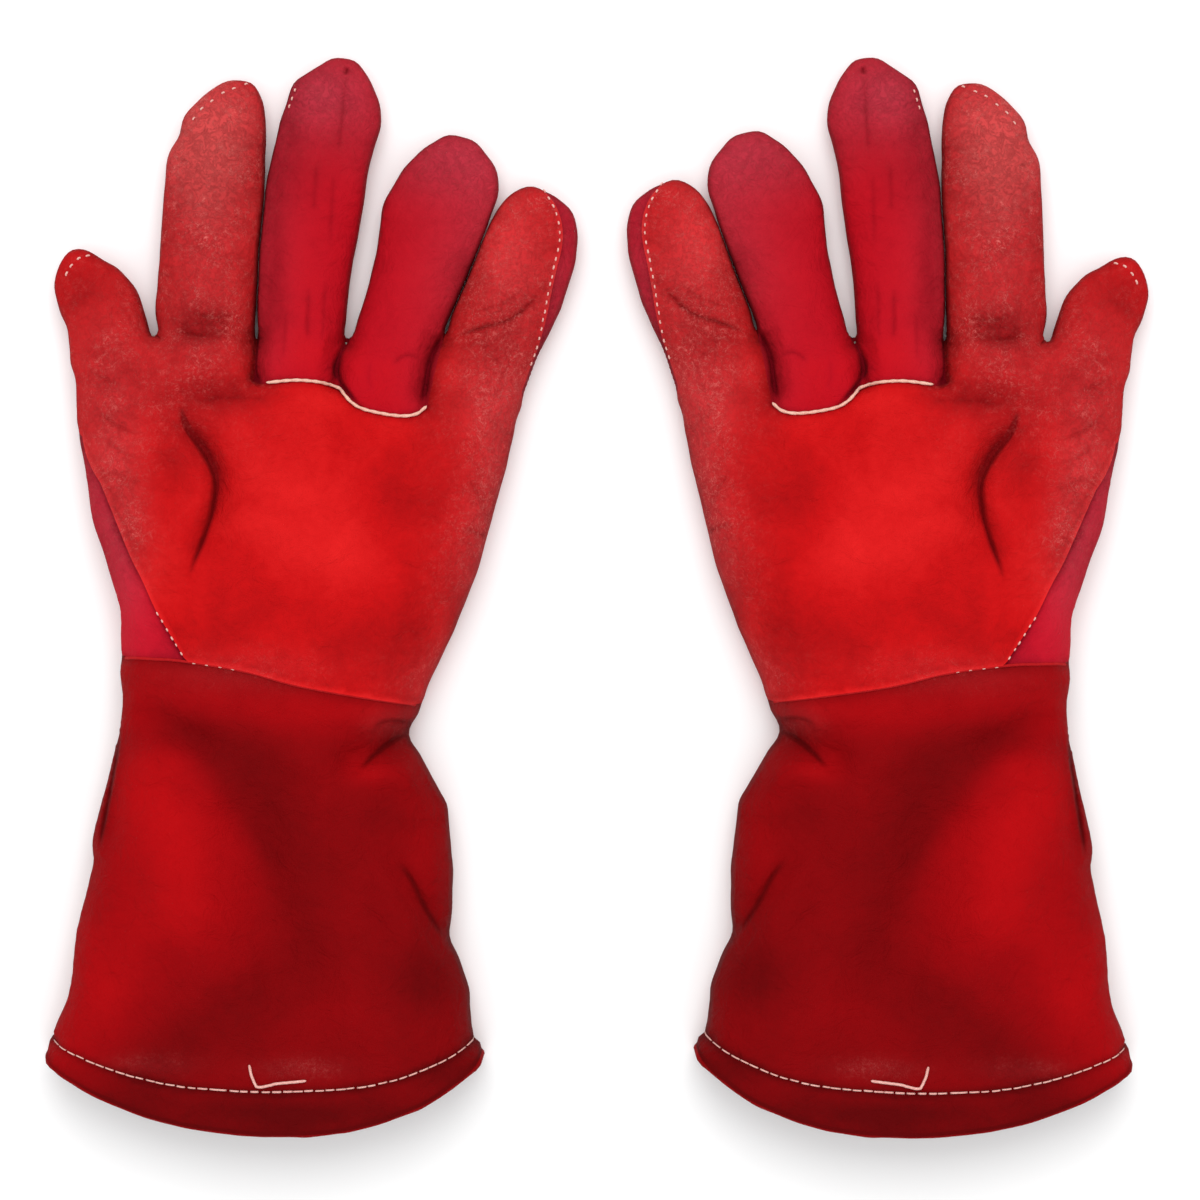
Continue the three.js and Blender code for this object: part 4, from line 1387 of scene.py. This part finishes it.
def hide(name, deep, colour, bright, napped, fleck, fleck_strength, mottle=1.0):
    """Rough-out split leather: mottled, and where it is napped duller, with pale rubbed flecks."""
    s = Shader(name, 0.84, sheen=0.02, sheen_tint=fleck, sheen_rough=0.35, specular=0.06)
    place = s.attribute("drawn")
    tone = s.attribute("tone")
    nap = s.attribute("nap")

    cloud = s.noise(place, 0.035, 3, 0.55, 0.5)
    grain = s.noise(place, 0.32, 6, 0.7, 0.4)
    fibre = s.noise(place, 1.7, 4, 0.7)
    # the tone attribute carries painted light and shade with the leather's own patchiness: low levels mix
    # toward deep as painted shade, high ones toward bright as painted light
    level = s.math("ADD", tone, s.ramp(cloud, 0.3, 0.7, -0.12 * mottle, 0.12 * mottle))
    level = s.math("ADD", level, s.ramp(grain, 0.25, 0.75, -0.07 * mottle, 0.07 * mottle))
    level = s.math("ADD", level, s.ramp(fibre, 0.2, 0.8, -0.04 * mottle, 0.04 * mottle))
    shaded = s.mix(s.ramp(level, 0.0, 0.5), deep, colour)
    shaded = s.mix(s.ramp(level, 0.5, 1.0), shaded, bright)
    dulled = s.mix(s.ramp(level, 0.05, 0.85, 0.0, 1.0), deep, napped)
    shaded = s.mix(s.math("MULTIPLY", nap, 0.85), shaded, dulled)
    shaded = s.mix(s.ramp(nap, 1.0, 2.0, 0.0, 0.34), shaded, fleck)

    # the nap is crushed into fine wrinkles, whose ridges are rubbed pale
    crush = s.noise(place, 0.3, 6, 0.72, 1.2)
    ridges = s.ramp(s.math("ABSOLUTE", s.math("SUBTRACT", crush, 0.5), 0.0), 0.045, 0.0)
    speck = s.ramp(s.noise(place, 0.55, 5, 0.75, 0.5), 0.46, 0.58)
    dust = s.ramp(s.noise(place, 1.5, 4, 0.75), 0.5, 0.75)
    patch = s.ramp(s.noise(place, 0.075, 4, 0.7), 0.42, 0.62, 0.12, 1.0)
    flecks = s.math("MAXIMUM", s.math("MULTIPLY", ridges, speck), s.math("MULTIPLY", dust, 0.5))
    wear_and_lip_highlight = s.math("MULTIPLY", flecks, s.math("MULTIPLY", patch, nap))
    shaded = s.mix(s.math("MULTIPLY", wear_and_lip_highlight, fleck_strength), shaded, fleck)

    pores = s.noise(place, 4.5, 2, 0.6)
    height = s.math("ADD", grain, s.math("MULTIPLY", fibre, 0.4))
    height = s.math("ADD", height, s.math("MULTIPLY", pores, 0.12))
    height = s.math("ADD", height, s.math("MULTIPLY", ridges, s.math("MULTIPLY", nap, 0.35)))
    wrinkle = s.noise(place, 0.11, 4, 0.6, 1.4)
    low = s.bump(wrinkle, 0.0018, 0.7)
    normal = s.bump(height, 0.0004, 0.8, low)
    rough = s.ramp(fibre, 0.2, 0.8, 0.72, 0.92)
    return s.finish(shaded, normal, rough)


def cloth(name, light, dark, thread, depth):
    """A plain woven lining."""
    s = Shader(name, 0.92, sheen=0.1, specular=0.2)
    place = s.attribute("drawn")
    waves_x = s.add("ShaderNodeTexWave", {"Vector": place, "Scale": thread, "Distortion": 0.4},
                    bands_direction="X").outputs["Fac"]
    waves_y = s.add("ShaderNodeTexWave", {"Vector": place, "Scale": thread, "Distortion": 0.4},
                    bands_direction="Y").outputs["Fac"]
    weave = s.math("MULTIPLY", waves_x, waves_y)
    soil = s.noise(place, 0.08, 4, 0.6)
    colour = s.mix(s.ramp(weave, 0.0, 0.8), dark, light)
    colour = s.mix(s.ramp(soil, 0.3, 0.8, 0, 0.35), colour, dark)
    return s.finish(colour, s.bump(weave, depth, 0.8))


def cord(name, light, dark):
    """Waxed thread or cotton piping."""
    s = Shader(name, 0.7, sheen=0.15, specular=0.35)
    place = s.attribute("drawn")
    fibre = s.noise(place, 3.2, 4, 0.6)
    soil = s.noise(place, 0.22, 3, 0.6)
    colour = s.mix(s.ramp(fibre, 0.3, 0.75), dark, light)
    colour = s.mix(s.ramp(soil, 0.35, 0.75, 0, 0.4), colour, dark)
    return s.finish(colour, s.bump(fibre, 0.0002, 0.7))


def make_hides():
    fleck = linear(228, 112, 106)
    napped = linear(204, 54, 58)
    crimson = linear(204, 62, 80)
    return {
        "palm_hide": hide("palm_hide", linear(112, 2, 6), linear(184, 11, 14), linear(220, 32, 32), napped,
                          fleck, 0.85),
        "smooth_hide": hide("smooth_hide", linear(108, 2, 16), linear(172, 8, 24), linear(194, 8, 14),
                            crimson, fleck, 0.12, 0.7),
        "back_hide": hide("back_hide", linear(112, 2, 20), linear(178, 14, 34), linear(194, 22, 42),
                          crimson, fleck, 0.3),
        "cuff_hide": hide("cuff_hide", linear(88, 0, 2), linear(140, 1, 6), linear(182, 6, 12), napped,
                          fleck, 0.5, 0.5),
        "welt_hide": hide("welt_hide", linear(130, 10, 14), linear(176, 24, 28), linear(200, 48, 50),
                          napped, fleck, 0.2),
        "pale_piping": cord("pale_piping", linear(250, 218, 196), linear(204, 136, 118)),
        "sewing_thread": cord("sewing_thread", linear(246, 208, 196), linear(204, 128, 118)),
        "cotton_lining": cloth("cotton_lining", linear(232, 226, 212), linear(170, 160, 146), 1.1, 0.0002),
        "canvas_lining": cloth("canvas_lining", linear(92, 112, 146), linear(44, 56, 84), 0.8, 0.0003),
    }


# ------------------------------------------------------------------ camera, floor and light

def make_camera():
    """Straight above the pair, square to it."""
    lens, sensor, field = 135.0, 36.0, 0.388
    camera = bpy.data.objects.new("camera", bpy.data.cameras.new("camera"))
    camera.data.lens = lens
    camera.data.sensor_width = sensor
    camera.location = (0.0008, -0.0005, 0.016 + field * lens / sensor)
    bpy.context.scene.collection.objects.link(camera)
    bpy.context.scene.camera = camera


def make_floor():
    mesh = bpy.data.meshes.new("floor")
    size = 4.0
    corners = [(-size, -size, 0), (size, -size, 0), (size, size, 0), (-size, size, 0)]
    mesh.from_pydata(corners, [], [(0, 1, 2, 3)])
    s = Shader("floor", 0.9, specular=0.1)
    s.surface.inputs["Base Color"].default_value = (0.93, 0.93, 0.93, 1)
    mesh.materials.append(s.material)
    floor = bpy.data.objects.new("floor", mesh)
    bpy.context.scene.collection.objects.link(floor)


def make_lights():
    def area(name, place, size, power):
        light = bpy.data.lights.new(name, "AREA")
        light.size = size
        light.energy = power
        lamp = bpy.data.objects.new(name, light)
        lamp.location = place
        lamp.rotation_euler = Vector(place).to_track_quat("Z", "Y").to_euler()
        bpy.context.scene.collection.objects.link(lamp)
    area("key", (0.0, 1.15, 2.0), 1.7, 26)
    area("fill", (0.0, -0.7, 2.4), 2.2, 14)
    world = bpy.data.worlds.new("world")
    world.use_nodes = True
    world.node_tree.nodes["Background"].inputs["Color"].default_value = (1, 1, 1, 1)
    world.node_tree.nodes["Background"].inputs["Strength"].default_value = 0.8
    bpy.context.scene.world = world
    bpy.context.scene.view_settings.view_transform = "Standard"


# ------------------------------------------------------------------ the whole scene

make_camera()
make_floor()
make_lights()

glove = Glove(draw_pattern(SPACING))
coarse = draw_pattern(COARSE)
THUMB_CUT = line_ends(glove.pattern, "thumb_base")
hides = make_hides()
parts = leather_parts(glove, hides) + lining_parts(glove, coarse, hides) + trim_parts(glove, hides)
for side in ("left", "right"):
    hand = Hand(side)
    for part in parts:
        part.build(hand)
